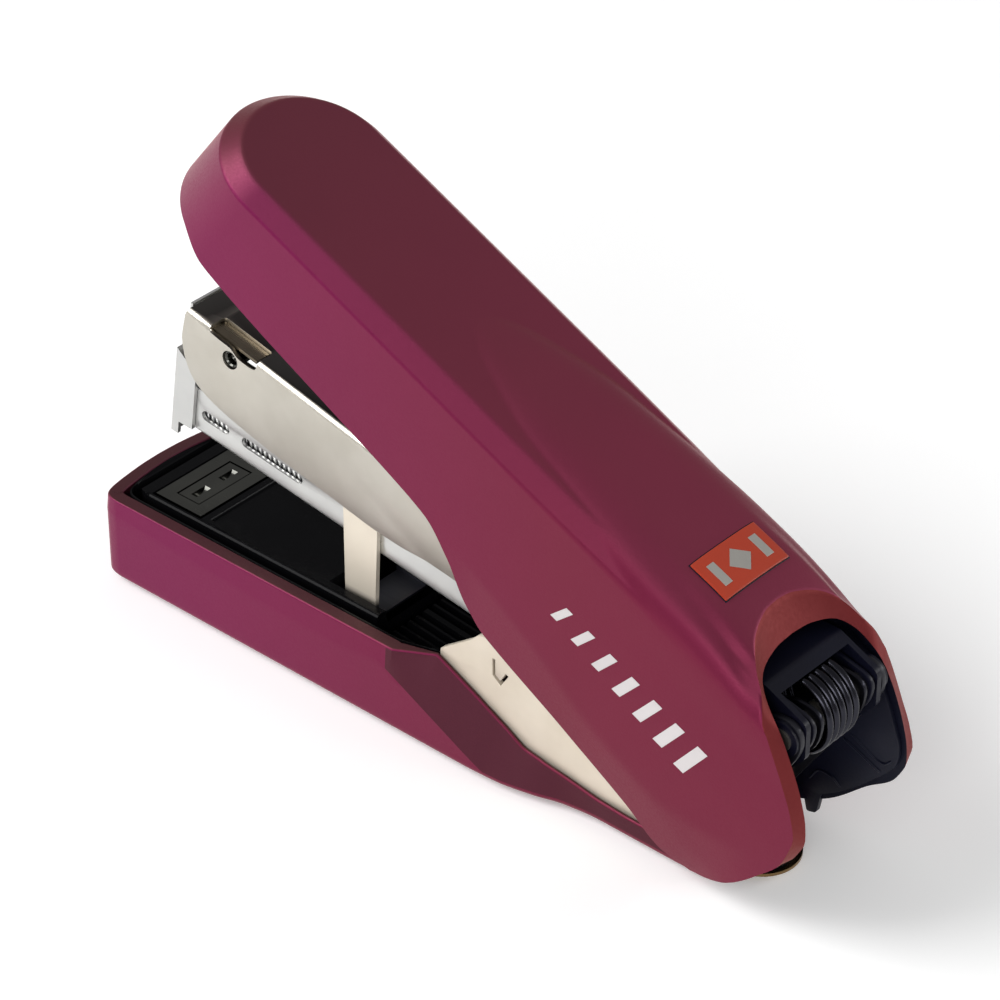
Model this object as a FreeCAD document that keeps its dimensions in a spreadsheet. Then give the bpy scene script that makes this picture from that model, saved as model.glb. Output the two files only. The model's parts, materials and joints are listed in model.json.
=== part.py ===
import FreeCAD, Part
import math
import os
import re
import Sketcher

# Flat-clinch hand stapler, millimetres.  +Z is up, the nose points to -X, and the object is
# symmetric about the XZ plane.  The origin is under the middle of its length, on the table top.

doc = FreeCAD.newDocument("stapler")
Vec = FreeCAD.Vector
UP = Vec(0, 0, 1)
ACROSS = Vec(0, 1, 0)

# ---------------------------------------------------------------- driving dimensions

SIZES = {
    # base tub
    "base_front": -78.75,
    "base_tail": 58.0,
    "base_half": 16.0,
    "front_bow": 1.5,
    "front_corner": 3.5,
    "rim_height": 17.5,
    "tail_height": 6.5,
    "slope_start": -1.5,
    "slope_end": 22.0,
    "taper_end": 28.0,
    "foot_height": 0.8,
    "foot_inset": 5.0,
    "floor_thick": 2.2,
    "shell_wall": 2.0,
    "tail_wall": 0.9,
    "facet_depth": 12.7,
    # clincher table in the tub
    "table_drop": 0.5,
    "table_depth": 8.0,
    "table_gap": 0.3,
    "recess_start": -29.0,
    "recess_half": 8.6,
    "recess_depth": 5.5,
    "anvil_middle": -64.5,
    "anvil_length": 11.0,
    "anvil_half": 9.0,
    "anvil_thick": 1.8,
    "block_length": 5.0,
    "block_half": 6.4,
    "block_depth": 3.6,
    "sink_travel": 1.0,
    # shafts and their running clearance
    "shaft_along": 70.5,
    "shaft_level": 36.5,
    "shaft_radius": 2.0,
    "lever_along": 52.75,
    "lever_level": 19.0,
    "lever_radius": 2.2,
    "run_gap": 0.05,
    "side_gap": 0.3,
    # steel base frame
    "flange_thick": 1.0,
    "flange_front": -0.85,
    "flange_crest": 25.1,
    "flange_waist": 13.0,
    "ear_radius": 3.4,
    # inner lever frame
    "inner_thick": 1.1,
    "bridge_under": 42.3,
    "bridge_top": 43.4,
    # magazine, in its own tilted frame through the rear shaft
    "mag_pitch": 8.2,
    "mag_nose": 135.2,
    "mag_thick": 0.7,
    "mag_under": 23.1,
    "mag_height": 9.2,
    "plate_thick": 0.7,
    "plate_wing": 4.8,
    "plate_low": 25.5,
    "plate_high": 7.4,
    "strip_length": 50.0,
    "strip_height": 6.2,
    "strip_thick": 0.55,
    "pusher_length": 12.0,
    "rod_radius": 1.2,
    "block_back": 12.0,
    "stirrup_thick": 0.9,
    "stirrup_front": -26.4,
    "stirrup_width": 6.8,
    "stirrup_low": 12.2,
    # driver frame, in its own tilted frame through the rear shaft
    "drive_pitch": 13.5,
    "drive_thick": 0.8,
    "drive_nose": 134.0,
    "roof_drop": 9.2,
    "roof_end": 18.0,
    "flank_low": 27.0,
    "blade_thick": 0.5,
    "pin_radius": 1.5,
    "wear_thick": 1.2,
    # handle, in its own tilted frame through the lever pin
    "handle_pitch": 25.0,
    "handle_nose": 128.3,
    "handle_tail_half": 15.2,
    "handle_lean": 0.19,
    "crease_level": 27.3,
    "plateau_level": 30.3,
    "plateau_inset": 3.2,
    "handle_wall": 1.9,
    "hump_level": 32.6,
    "hump_half": 10.6,
    "hump_start": 72.0,
    "cheek_radius": 15.8,
    "liner_thick": 1.0,
    "liner_roof": 23.3,
    "roller_radius": 3.0,
    "roller_half": 4.5,
    "axle_radius": 1.5,
    "badge_length": 8.0,
    "badge_half": 7.8,
    "badge_thick": 0.7,
    "badge_back": 12.0,
    # springs
    "coil_radius": 6.2,
    "coil_wire": 0.8,
    "lift_radius": 3.2,
    "lift_wire": 0.4,
    "lift_along": 24.0,
    "push_wire": 0.3,
}

# Half widths stack inwards from the handle's tail, and the coil hangs just clear of the shaft.
FOLLOWING = {
    "handle_half": "handle_tail_half + 0.8",
    "liner_half": "handle_tail_half - 2.1",
    "flange_half": "liner_half - 2.2",
    "tail_half": "flange_half + 1.1",
    "shaft_half": "flange_half + 1",
    "inner_half": "flange_half - 1.3",
    "drive_half": "inner_half - 1.8",
    "mag_half": "drive_half - 1.95",
    "plate_half": "mag_half + 0.8",
    "strip_half": "mag_half - 0.95",
    "coil_drop": "coil_radius - coil_wire - shaft_radius - 0.3",
}

dims = doc.addObject("Spreadsheet::Sheet", "dims")
for row, (name, size) in enumerate(SIZES.items(), start=1):
    dims.set(f"A{row}", name.replace("_", " "))
    dims.set(f"B{row}", str(size))
    dims.setAlias(f"B{row}", name)
doc.recompute()


def bound(formula):
    """The formula with each size name pointed at its cell."""

    def cell(word):
        name = word[0]
        if name in FOLLOWING:
            return f"({bound(FOLLOWING[name])})"
        return f"dims.{name}" if name in SIZES else name

    return re.sub(r"[a-z_]+", cell, formula)


def value(formula):
    """The number a formula gives with the sheet as it stands."""
    if isinstance(formula, (int, float)):
        return float(formula)
    return float(dims.evalExpression(bound(formula)))


# ---------------------------------------------------------------- placing and shaping helpers


def tilted(along, level, pitch):
    """A frame through (along, level) whose first axis dips towards the tail by the pitch."""
    turn = FreeCAD.Rotation(ACROSS, value(pitch))
    return FreeCAD.Placement(Vec(value(along), 0, value(level)), turn)


LEVEL = FreeCAD.Placement()
MAGAZINE = tilted("shaft_along", "shaft_level", "mag_pitch")
DRIVE = tilted("shaft_along", "shaft_level", "drive_pitch")
HANDLE = tilted("lever_along", "lever_level", "handle_pitch")


def side_sketch(body, corners, label):
    """A closed outline in the body's XZ plane, each corner bound to the sheet."""
    sketch = body.newObject("Sketcher::SketchObject", label)
    plane = next(o for o in body.Origin.OriginFeatures if o.Role == "XZ_Plane")
    sketch.AttachmentSupport = (plane, "")
    sketch.MapMode = "FlatFace"
    spots = [Vec(value(x), value(z), 0) for x, z in corners]
    for spot, following in zip(spots, spots[1:] + spots[:1]):
        sketch.addGeometry(Part.LineSegment(spot, following), False)
    count = len(spots)
    for index in range(count):
        sketch.addConstraint(Sketcher.Constraint("Coincident", index, 2, (index + 1) % count, 1))
    for index, formulas in enumerate(corners):
        for kind, formula in zip(("DistanceX", "DistanceY"), formulas):
            rule = Sketcher.Constraint(kind, -1, 1, index, 1, value(formula))
            number = sketch.addConstraint(rule)
            if not isinstance(formula, (int, float)):
                sketch.setExpression(f"Constraints[{number}]", bound(formula))
    return sketch


def side_body(label, corners, half, placement=LEVEL):
    """A body padded evenly to both sides of the middle plane."""
    body = doc.addObject("PartDesign::Body", label)
    body.Label = label
    pad = body.newObject("PartDesign::Pad", f"{label}_pad")
    pad.Profile = side_sketch(body, corners, f"{label}_outline")
    pad.SideType = "Symmetric"
    pad.setExpression("Length", bound(f"2 * ({half})"))
    body.Placement = placement
    doc.recompute()
    return body


def carve(body, label, corners, half):
    """A pocket cut evenly to both sides of the middle plane."""
    pocket = body.newObject("PartDesign::Pocket", f"{body.Label}_{label}")
    pocket.Profile = side_sketch(body, corners, f"{body.Label}_{label}_outline")
    pocket.SideType = "Symmetric"
    pocket.setExpression("Length", bound(f"2 * ({half})"))
    before = body.Shape.Volume
    doc.recompute()
    assert body.Shape.Volume < before, f"{label} cuts nothing from {body.Label}"


def side_hole(body, label, x, z, radius, half="base_half"):
    """A round hole across the body."""
    sketch = body.newObject("Sketcher::SketchObject", f"{body.Label}_{label}_circle")
    plane = next(o for o in body.Origin.OriginFeatures if o.Role == "XZ_Plane")
    sketch.AttachmentSupport = (plane, "")
    sketch.MapMode = "FlatFace"
    middle = Vec(value(x), value(z), 0)
    sketch.addGeometry(Part.Circle(middle, Vec(0, 0, 1), value(radius)), False)
    rules = (
        (Sketcher.Constraint("DistanceX", -1, 1, 0, 3, middle.x), x),
        (Sketcher.Constraint("DistanceY", -1, 1, 0, 3, middle.y), z),
        (Sketcher.Constraint("Radius", 0, value(radius)), radius),
    )
    for rule, formula in rules:
        number = sketch.addConstraint(rule)
        if not isinstance(formula, (int, float)):
            sketch.setExpression(f"Constraints[{number}]", bound(formula))
    pocket = body.newObject("PartDesign::Pocket", f"{body.Label}_{label}")
    pocket.Profile = sketch
    pocket.SideType = "Symmetric"
    pocket.setExpression("Length", bound(f"2 * ({half})"))
    before = body.Shape.Volume
    doc.recompute()
    assert body.Shape.Volume < before, f"{label} cuts nothing from {body.Label}"


def round_off(body, corners, radius):
    """Rounds the crosswise edges that stand on the given corners of the outline."""
    base = body.Tip
    spots = [Vec(value(x), 0, value(z)) for x, z in corners]
    names = []
    for number, edge in enumerate(base.Shape.Edges, start=1):
        start, end = edge.Vertexes[0].Point, edge.Vertexes[-1].Point
        if abs(start.x - end.x) + abs(start.z - end.z) > 1e-6:
            continue
        flat = Vec(start.x, 0, start.z)
        if any(flat.distanceToPoint(spot) < 1e-4 for spot in spots):
            names.append(f"Edge{number}")
    fillet = body.newObject("PartDesign::Fillet", f"{base.Name}_round")
    fillet.Base = (base, names)
    fillet.setExpression("Radius", bound(radius))
    doc.recompute()


def rod(label, radius, half, x, z, placement=LEVEL):
    """A round bar across the object, centred on the middle plane."""
    bar = doc.addObject("Part::Cylinder", label)
    bar.setExpression("Radius", bound(radius))
    bar.setExpression("Height", bound(f"2 * ({half})"))
    turn = FreeCAD.Rotation(Vec(1, 0, 0), -90)
    spot = Vec(value(x), -value(half), value(z))
    bar.Placement = placement.multiply(FreeCAD.Placement(spot, turn))
    bar.Label = label
    return bar


def solid(label, shape, placement=LEVEL):
    """A sub-part whose shape comes from Part's own functions."""
    piece = doc.addObject("Part::Feature", label)
    piece.Label = label
    piece.Shape = shape
    piece.Placement = placement.multiply(shape.Placement)
    return piece


def block(x, y, z):
    """A plain box from (low, high) pairs, for cutting."""
    return Part.makeBox(x[1] - x[0], y[1] - y[0], z[1] - z[0], Vec(x[0], y[0], z[0]))


def prism(corners, half):
    """An outline in the XZ plane, pulled out evenly to both sides."""
    spots = [Vec(x, -half, z) for x, z in corners]
    face = Part.Face(Part.makePolygon(spots + spots[:1]))
    return face.extrude(Vec(0, 2 * half, 0))


S = {name: value(name) for name in (*SIZES, *FOLLOWING)}

# ---------------------------------------------------------------- base


def tub_outline(inset, level, tail_inset):
    """The tub seen from above: a bowed front, rounded corners, straight sides and a slim tail."""
    front = S["base_front"] + inset
    half = S["base_half"] - inset
    slim = S["tail_half"] - tail_inset
    corner = S["front_corner"] - inset
    bow = S["front_bow"]
    shoulder = half - corner
    turn_in = corner * (1 - math.cos(math.pi / 4))
    tail = S["base_tail"] - tail_inset
    near = [
        Vec(tail, -slim, level),
        Vec(S["taper_end"], -slim, level),
        Vec(S["slope_end"] - S["facet_depth"] * 0.6, -half, level),
        Vec(front + bow + corner, -half, level),
    ]
    far = [Vec(p.x, -p.y, p.z) for p in reversed(near)]
    edges = [Part.makeLine(a, b) for a, b in zip(near, near[1:])]
    bend = Vec(front + bow + turn_in, -half + turn_in, level)
    edges.append(Part.Arc(near[-1], bend, Vec(front + bow, -shoulder, level)).toShape())
    nose = Vec(front, 0, level)
    turned = Vec(front + bow, shoulder, level)
    edges.append(Part.Arc(Vec(front + bow, -shoulder, level), nose, turned).toShape())
    mirrored = Vec(bend.x, -bend.y, level)
    edges.append(Part.Arc(turned, mirrored, far[0]).toShape())
    edges += [Part.makeLine(a, b) for a, b in zip(far, far[1:])]
    edges.append(Part.makeLine(far[-1], near[0]))
    return Part.Wire(Part.__sortEdges__(edges))


def facet_cutter(side):
    """The wedge that slants the tub's shoulder off where the rim drops to the tail."""
    across = side * S["base_half"]
    high = Vec(S["slope_start"] - 9.0, across, S["rim_height"] - 3.6)
    low = Vec(high.x + 25.0, across, high.z - S["facet_depth"])
    inner = Vec(S["slope_end"], side * (S["base_half"] - 2.0), S["tail_height"])
    along = (low - high).normalize()
    normal = along.cross(inner - high).normalize()
    if normal.y * side < 0:
        normal = normal.negative()
    turn = FreeCAD.Rotation(UP, normal)
    reach = 40.0
    cutter = Part.makeBox(2 * reach, 2 * reach, reach, Vec(-reach, -reach, 0))
    cutter.Placement = FreeCAD.Placement(high, turn)
    return cutter


def make_base_shell():
    bottom = S["foot_height"]
    outer = Part.Face(tub_outline(0, bottom, 0)).extrude(Vec(0, 0, S["rim_height"] - bottom))
    front = S["base_front"] - 1
    side = prism(
        [
            (front, bottom),
            (S["base_tail"] + 1, bottom),
            (S["base_tail"] + 1, S["tail_height"]),
            (S["slope_end"], S["tail_height"]),
            (S["slope_start"], S["rim_height"]),
            (front, S["rim_height"]),
        ],
        S["base_half"] + 1,
    )
    outer = outer.common(side)
    for way in (-1, 1):
        outer = outer.cut(facet_cutter(way))
    floor = bottom + S["floor_thick"]
    hollow = Part.Face(tub_outline(S["shell_wall"], floor, S["tail_wall"]))
    shell = outer.cut(hollow.extrude(Vec(0, 0, S["rim_height"])))
    return solid("base_shell", shell)


def make_clincher_table():
    """Black insert: full width at the nose, a sunken middle behind, and an opening for the stirrup."""
    top = S["rim_height"] - S["table_drop"]
    under = top - S["table_depth"]
    gap = S["shell_wall"] + S["table_gap"]
    body = Part.Face(tub_outline(gap, under, gap)).extrude(Vec(0, 0, S["table_depth"]))
    body = body.cut(block((S["slope_start"], 80), (-20, 20), (0, 30)))
    half = S["recess_half"]
    body = body.cut(block((S["recess_start"], 0), (-half, half), (top - S["recess_depth"], top + 1)))
    pass_front = S["stirrup_front"] - 2.0
    pass_rear = S["stirrup_front"] + S["stirrup_width"] + 3.5
    pass_half = S["mag_half"] + S["stirrup_thick"] + 3 * S["side_gap"]
    body = body.cut(block((pass_front, pass_rear), (-pass_half, pass_half), (0, top + 1)))
    gap = S["side_gap"]
    reach = S["anvil_length"] / 2 + gap
    half = S["anvil_half"] + gap
    seat = S["anvil_middle"]
    depth = top + gap - S["anvil_thick"]
    body = body.cut(block((seat - reach, seat + reach), (-half, half), (depth, top + 1)))
    reach = S["block_length"] / 2 + gap
    half = S["block_half"] + gap
    depth = top + 0.2 - S["block_depth"] - S["sink_travel"] - gap
    body = body.cut(block((seat - reach, seat + reach), (-half, half), (depth, top + 1)))
    for rib in range(5):
        start = S["recess_start"] - 8.0 - 5.5 * rib
        body = body.fuse(block((start, start + 0.8), (-11.5, 11.5), (top - 0.2, top + 0.35)))
    return solid("clincher_table", body.removeSplitter())


def make_anvil():
    top = S["rim_height"] - S["table_drop"] + 0.3
    seat = S["anvil_middle"]
    reach = S["anvil_length"] / 2
    half = S["anvil_half"]
    plate = block((seat - reach, seat + reach), (-half, half), (top - S["anvil_thick"], top))
    gap = S["side_gap"]
    reach = S["block_length"] / 2 + gap
    half = S["block_half"] + gap
    window = block((seat - reach, seat + reach), (-half, half), (0, top + 1))
    solid("anvil_plate", plate.cut(window))
    reach = S["block_length"] / 2
    half = S["block_half"]
    crown = top - 0.1
    rise = block((seat - reach, seat + reach), (-half, half), (crown - S["block_depth"], crown))
    for way in (-1, 1):
        groove = Part.makeCylinder(2.6, 1.4, Vec(seat - 0.7, way * 3.4, crown + 1.9), Vec(1, 0, 0))
        rise = rise.cut(groove)
    solid("clincher_block", rise)


def make_base_frame():
    """Steel channel: front wings, a low waist where the lever pins pass, and rear ears."""
    ear = "(ear_radius)"
    floor = "foot_height + floor_thick"
    corners = [
        ("flange_front", "rim_height - 0.5"),
        ("flange_front", "rim_height + 0.9"),
        ("flange_front + 8.45", "flange_crest"),
        ("flange_front + 16", "flange_crest + 1.5"),
        ("flange_front + 26", "flange_crest - 2"),
        ("lever_along - 16", "flange_waist"),
        ("lever_along + 4", "flange_waist"),
        (f"shaft_along - {ear} - 1", "shaft_level - 4"),
        (f"shaft_along - {ear}", f"shaft_level + {ear}"),
        (f"shaft_along + {ear}", f"shaft_level + {ear}"),
        (f"shaft_along + {ear}", f"shaft_level - {ear}"),
        ("base_tail - 1.5", f"{floor} + 4"),
        ("base_tail - 1.5", floor),
        ("flange_front + 5", floor),
    ]
    body = side_body("base_frame", corners, "flange_half")
    round_off(body, [corners[8], corners[9]], "ear_radius - 0.05")
    round_off(body, [corners[3], corners[5], corners[6], corners[10]], "2")
    inside = f"{floor} + flange_thick"
    carve(
        body,
        "channel",
        [("base_front", inside), ("base_front", 90), (120, 90), (120, inside)],
        "flange_half - flange_thick",
    )
    side_hole(body, "shaft_hole", "shaft_along", "shaft_level", "shaft_radius + run_gap")
    return body


def ring(label, outer, inner, low, high, x, z):
    """A washer across the object."""
    turn = Vec(0, 1, 0)
    spot = Vec(x, low, z)
    shape = Part.makeCylinder(outer, high - low, spot, turn)
    return solid(label, shape.cut(Part.makeCylinder(inner, high - low, spot, turn)))


def make_shafts():
    rod("rear_shaft", "shaft_radius", "shaft_half", "shaft_along", "shaft_level")
    face = S["flange_half"] + 0.1
    outer, inner = S["shaft_radius"] + 1.2, S["shaft_radius"] + 0.01
    for side, label in ((-1, "shaft_clip_left"), (1, "shaft_clip_right")):
        low, high = sorted((side * face, side * (face + 0.6)))
        ring(label, outer, inner, low, high, S["shaft_along"], S["shaft_level"])


def tongue(length, half, low, high):
    """A tongue that runs back from the tub's tail and ends in a half round."""
    start = S["base_tail"] + 0.1
    straight = block((start, start + length - half), (-half, half), (low, high))
    tip = Part.makeCylinder(half, high - low, Vec(start + length - half, 0, low), UP)
    whole = straight.fuse(tip).removeSplitter()
    return whole.common(block((start, start + length), (-half, half), (low, high)))


def make_remover():
    base = S["foot_height"]
    solid("remover_blade", tongue(7.9, 6.9, base + 0.3, base + 0.9))
    solid("remover_cover", tongue(7.3, 6.5, base + 0.9, base + 4.6))


def make_feet():
    inset = S["foot_inset"]
    half = S["base_half"] - inset
    start = S["base_front"] + inset + 3
    front = block((start, start + 20), (-half, half), (0, S["foot_height"]))
    solid("foot_front", front.makeFillet(2.0, [e for e in front.Edges if e.Length < S["foot_height"] + 0.01]))
    half = S["tail_half"] - inset + 1.5
    start = S["base_tail"] - 30
    rear = block((start, start + 22), (-half, half), (0, S["foot_height"]))
    solid("foot_rear", rear.makeFillet(2.0, [e for e in rear.Edges if e.Length < S["foot_height"] + 0.01]))


def coil(radius, wire, pitch, height, start, axis):
    """A helical spring that starts at a point and climbs along an axis."""
    path = Part.makeHelix(pitch, height, radius)
    ring_wire = Part.Wire(Part.makeCircle(wire, Vec(radius, 0, 0), Vec(0, 1, 0)))
    shape = Part.Wire(path.Edges).makePipeShell([ring_wire], True, True)
    shape.Placement = FreeCAD.Placement(start, FreeCAD.Rotation(UP, axis))
    return shape


def magazine_floor(along):
    """Height of the magazine's underside above a place along the base."""
    pitch = math.radians(S["mag_pitch"])
    reach = S["shaft_along"] - along
    return S["shaft_level"] - S["mag_under"] / math.cos(pitch) + reach * math.tan(pitch)


def make_lift_spring():
    low = S["foot_height"] + S["floor_thick"] + S["flange_thick"] + S["lift_wire"] + 0.02
    high = magazine_floor(S["lift_along"] + S["lift_radius"]) - S["lift_wire"] - 0.3
    start = Vec(S["lift_along"], 0, low)
    solid("lift_spring", coil(S["lift_radius"], S["lift_wire"], (high - low) / 6, high - low, start, UP))


make_base_shell()
make_clincher_table()
make_anvil()
make_base_frame()
make_shafts()
make_remover()
make_feet()
make_lift_spring()

# ---------------------------------------------------------------- magazine


def make_magazine_channel():
    """Open-topped steel channel that rises to ears on the rear shaft."""
    top = "-mag_under + mag_height"
    corners = [
        ("-mag_nose", "-mag_under"),
        ("-block_back", "-mag_under"),
        ("ear_radius", "-ear_radius"),
        ("ear_radius", "ear_radius"),
        ("-ear_radius", "ear_radius"),
        ("-block_back - 9", top),
        ("-mag_nose", top),
    ]
    body = side_body("magazine_channel", corners, "mag_half", MAGAZINE)
    round_off(body, [corners[3], corners[4]], "ear_radius - 0.05")
    round_off(body, [corners[1], corners[2]], "2.5")
    inside = "-mag_under + mag_thick"
    reach = 200
    carve(
        body,
        "trough",
        [(f"-{reach}", inside), (f"-{reach}", 40), (40, 40), (40, inside)],
        "mag_half - mag_thick",
    )
    ahead, behind = "-mag_nose - 1", "-mag_nose + 2.2"
    under = "-mag_under - 1"
    carve(body, "exit", [(ahead, under), (ahead, 0), (behind, 0), (behind, under)], "mag_half - mag_thick")
    for number, (start, length) in enumerate((("5.4", "6.6"), ("15.0", "14.5"))):
        slot = [
            (f"-mag_nose + {start}", "-mag_under + 3.4"),
            (f"-mag_nose + {start}", "-mag_under + 5.4"),
            (f"-mag_nose + {start} + {length}", "-mag_under + 5.4"),
            (f"-mag_nose + {start} + {length}", "-mag_under + 3.4"),
        ]
        carve(body, f"slot_{number}", slot, "mag_half + 1")
        round_off(body, slot, "0.95")
    side_hole(body, "shaft_hole", 0, 0, "shaft_radius + run_gap")


def make_nose_plate():
    """Front plate of the magazine, folded back along both sides."""
    face = f"-mag_nose - {0.1} - plate_thick"
    corners = [
        (face, "-plate_low"),
        (face, "-plate_high"),
        (f"{face} + plate_wing", "-plate_high - 3"),
        (f"{face} + plate_wing", "-mag_under + 0.4"),
        (f"{face} + 1.6", "-mag_under + 0.2"),
        (f"{face} + 1.6", "-plate_low"),
    ]
    body = side_body("nose_plate", corners, "plate_half", MAGAZINE)
    back = f"{face} + plate_thick"
    behind = f"{face} + plate_wing + 2"
    under = "-plate_low - 1"
    carve(body, "wrap", [(back, under), (back, 0), (behind, 0), (behind, under)], "mag_half + 0.1")


def make_staples():
    """A stick of staples: an upside-down channel scored at every wire."""
    start = -S["mag_nose"] + 1.7
    end = start + S["strip_length"]
    low = -S["mag_under"] + S["mag_thick"] + 0.1
    high = low + S["strip_height"]
    wall = S["strip_thick"]
    half = S["strip_half"]
    stick = block((start, end), (-half, half), (low, high))
    stick = stick.cut(block((start - 1, end + 1), (wall - half, half - wall), (low - 1, high - wall)))
    solid("staple_strip", stick, MAGAZINE)


def rail_level():
    return -S["mag_under"] + S["mag_thick"] + 3.1


def pusher_start():
    return -S["mag_nose"] + 1.7 + S["strip_length"] + 0.2


def make_pusher():
    start = pusher_start()
    end = start + S["pusher_length"]
    half = S["strip_half"] - 0.1
    low = -S["mag_under"] + S["mag_thick"] + 0.3
    high = low + S["strip_height"]
    shape = block((start, end), (-half, half), (low, high))
    shape = shape.cut(block((start + 4, end + 1), (-half - 1, half + 1), (high - 1.6, high + 1)))
    bore = Part.makeCylinder(S["rod_radius"] + S["side_gap"], 200, Vec(-190, 0, rail_level()), Vec(1, 0, 0))
    solid("pusher", shape.cut(bore), MAGAZINE)


def make_guide():
    start = pusher_start() - 14
    end = -S["block_back"] - 0.3
    bar = Part.makeCylinder(S["rod_radius"], end - start, Vec(start, 0, rail_level()), Vec(1, 0, 0))
    solid("guide_rod", bar, MAGAZINE)
    half = S["mag_half"] - S["mag_thick"] - 0.1
    low = -S["mag_under"] + S["mag_thick"] + 0.02
    back = -S["block_back"]
    front = back - 7.5
    seat = block((front, back), (-half, half), (low, low + 7.5))
    bore = Part.makeCylinder(S["rod_radius"] + 0.01, 20, Vec(front - 1, 0, rail_level()), Vec(1, 0, 0))
    solid("magazine_end_block", seat.cut(bore), MAGAZINE)
    run = front - 0.4 - (pusher_start() + S["pusher_length"] + 0.4)
    start = Vec(pusher_start() + S["pusher_length"] + 0.4, 0, rail_level())
    radius = S["rod_radius"] + S["push_wire"] + 0.35
    solid("pusher_spring", coil(radius, S["push_wire"], run / 22, run, start, Vec(1, 0, 0)), MAGAZINE)


def make_stirrup():
    """Strap that hangs from the magazine through the table and keeps it in line."""
    front = "stirrup_front"
    rear = "stirrup_front + stirrup_width"
    corners = [
        (f"{front} - 2", 37.5),
        (front, 33.7),
        (front, "stirrup_low"),
        (rear, "stirrup_low"),
        (f"{rear} + 1", 33),
        (f"{rear} + 1", 37.5),
    ]
    body = side_body("stirrup", corners, "mag_half + 0.1 + stirrup_thick")
    round_off(body, [corners[2], corners[3]], "0.8")
    carve(
        body,
        "gap",
        [(-60, "stirrup_low + 1"), (-60, 60), (0, 60), (0, "stirrup_low + 1")],
        "mag_half + 0.1",
    )


make_magazine_channel()
make_nose_plate()
make_staples()
make_pusher()
make_guide()
make_stirrup()

# ---------------------------------------------------------------- inner lever frame


def make_inner_frame():
    """Black yoke: hangs on the rear shaft, bridges over it and carries the lever pins."""
    corners = [
        ("shaft_along - 11", "bridge_top"),
        ("shaft_along - 5", "bridge_top"),
        ("shaft_along + ear_radius", "shaft_level + 3"),
        ("shaft_along + ear_radius", "shaft_level - 3.4"),
        ("lever_along + 5", "lever_level - 5"),
        ("lever_along - 3", "lever_level - 4.6"),
        ("lever_along - 4.6", "lever_level + 2"),
        ("lever_along", "lever_level + 8"),
    ]
    body = side_body("inner_frame", corners, "inner_half")
    round_off(body, corners[:7], "1.8")
    carve(
        body,
        "middle",
        [(0, -10), (0, "bridge_under"), (120, "bridge_under"), (120, -10)],
        "inner_half - inner_thick",
    )
    side_hole(body, "shaft_hole", "shaft_along", "shaft_level", "shaft_radius + run_gap")
    side_hole(body, "lever_hole", "lever_along", "lever_level", "lever_radius + 0.01")
    inside = S["inner_half"] - S["inner_thick"]
    outside = S["liner_half"] - 0.1
    for side, label in ((-1, "lever_pin_left"), (1, "lever_pin_right")):
        low, high = sorted((side * inside, side * outside))
        spot = Vec(S["lever_along"], low, S["lever_level"])
        solid(label, Part.makeCylinder(S["lever_radius"], high - low, spot, ACROSS))


def make_torsion_spring():
    """Wire coil around the rear shaft, one leg forward over the driver frame and one over the magazine."""
    middle = Vec(S["shaft_along"] - 0.75, 0, S["shaft_level"] - S["coil_drop"])
    pitch = S["coil_wire"] * 2.16
    room = 2 * (S["mag_half"] - S["mag_thick"] - 0.4 - S["coil_wire"])
    width = (math.floor(room / pitch - 0.5) + 0.5) * pitch
    radius = S["coil_radius"]
    turns = coil(radius, S["coil_wire"], pitch, width, Vec(0, 0, 0), UP)
    roll = FreeCAD.Rotation(Vec(1, 0, 0), -90).multiply(FreeCAD.Rotation(UP, -90))
    turns.Placement = FreeCAD.Placement(middle + Vec(0, -width / 2, 0), roll)
    wire = [turns]
    for side, rise, reach in ((1, radius, Vec(-22, 0, 2.6)), (-1, -radius, Vec(-16, 0, -1.4))):
        start = middle + Vec(-0.05, -side * width / 2, rise)
        wire.append(Part.makeCylinder(S["coil_wire"], reach.Length, start, reach))
    solid("torsion_spring", Part.makeCompound(wire))


make_inner_frame()
make_torsion_spring()

# ---------------------------------------------------------------- driver frame


def make_driver_frame():
    """Upside-down steel channel over the magazine, open at the rear for the spring."""
    corners = [
        ("-drive_nose", "-roof_drop"),
        ("-roof_end", "-roof_drop"),
        ("-ear_radius - 4", "ear_radius"),
        ("ear_radius", "ear_radius"),
        ("ear_radius", "-ear_radius"),
        (-12, "-ear_radius - 9"),
        (-40, "-flank_low"),
        ("-drive_nose + 14", "-flank_low"),
        ("-drive_nose", "-flank_low + 11"),
    ]
    body = side_body("driver_frame", corners, "drive_half", DRIVE)
    round_off(body, [corners[3]], "ear_radius - 0.05")
    round_off(body, [corners[5], corners[6], corners[7]], "6")
    round_off(body, [corners[8]], "4")
    under = "-roof_drop - drive_thick"
    carve(
        body,
        "inside",
        [(-200, -60), (-200, under), ("0.1 - roof_end", under), ("0.1 - roof_end", 40), (40, 40), (40, -60)],
        "drive_half - drive_thick",
    )
    side_hole(body, "shaft_hole", 0, 0, "shaft_radius + run_gap")
    side_hole(body, "nose_hole", "-drive_nose + 11.9", "-roof_drop - 3.6", "pin_radius + run_gap")
    return body


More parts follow.
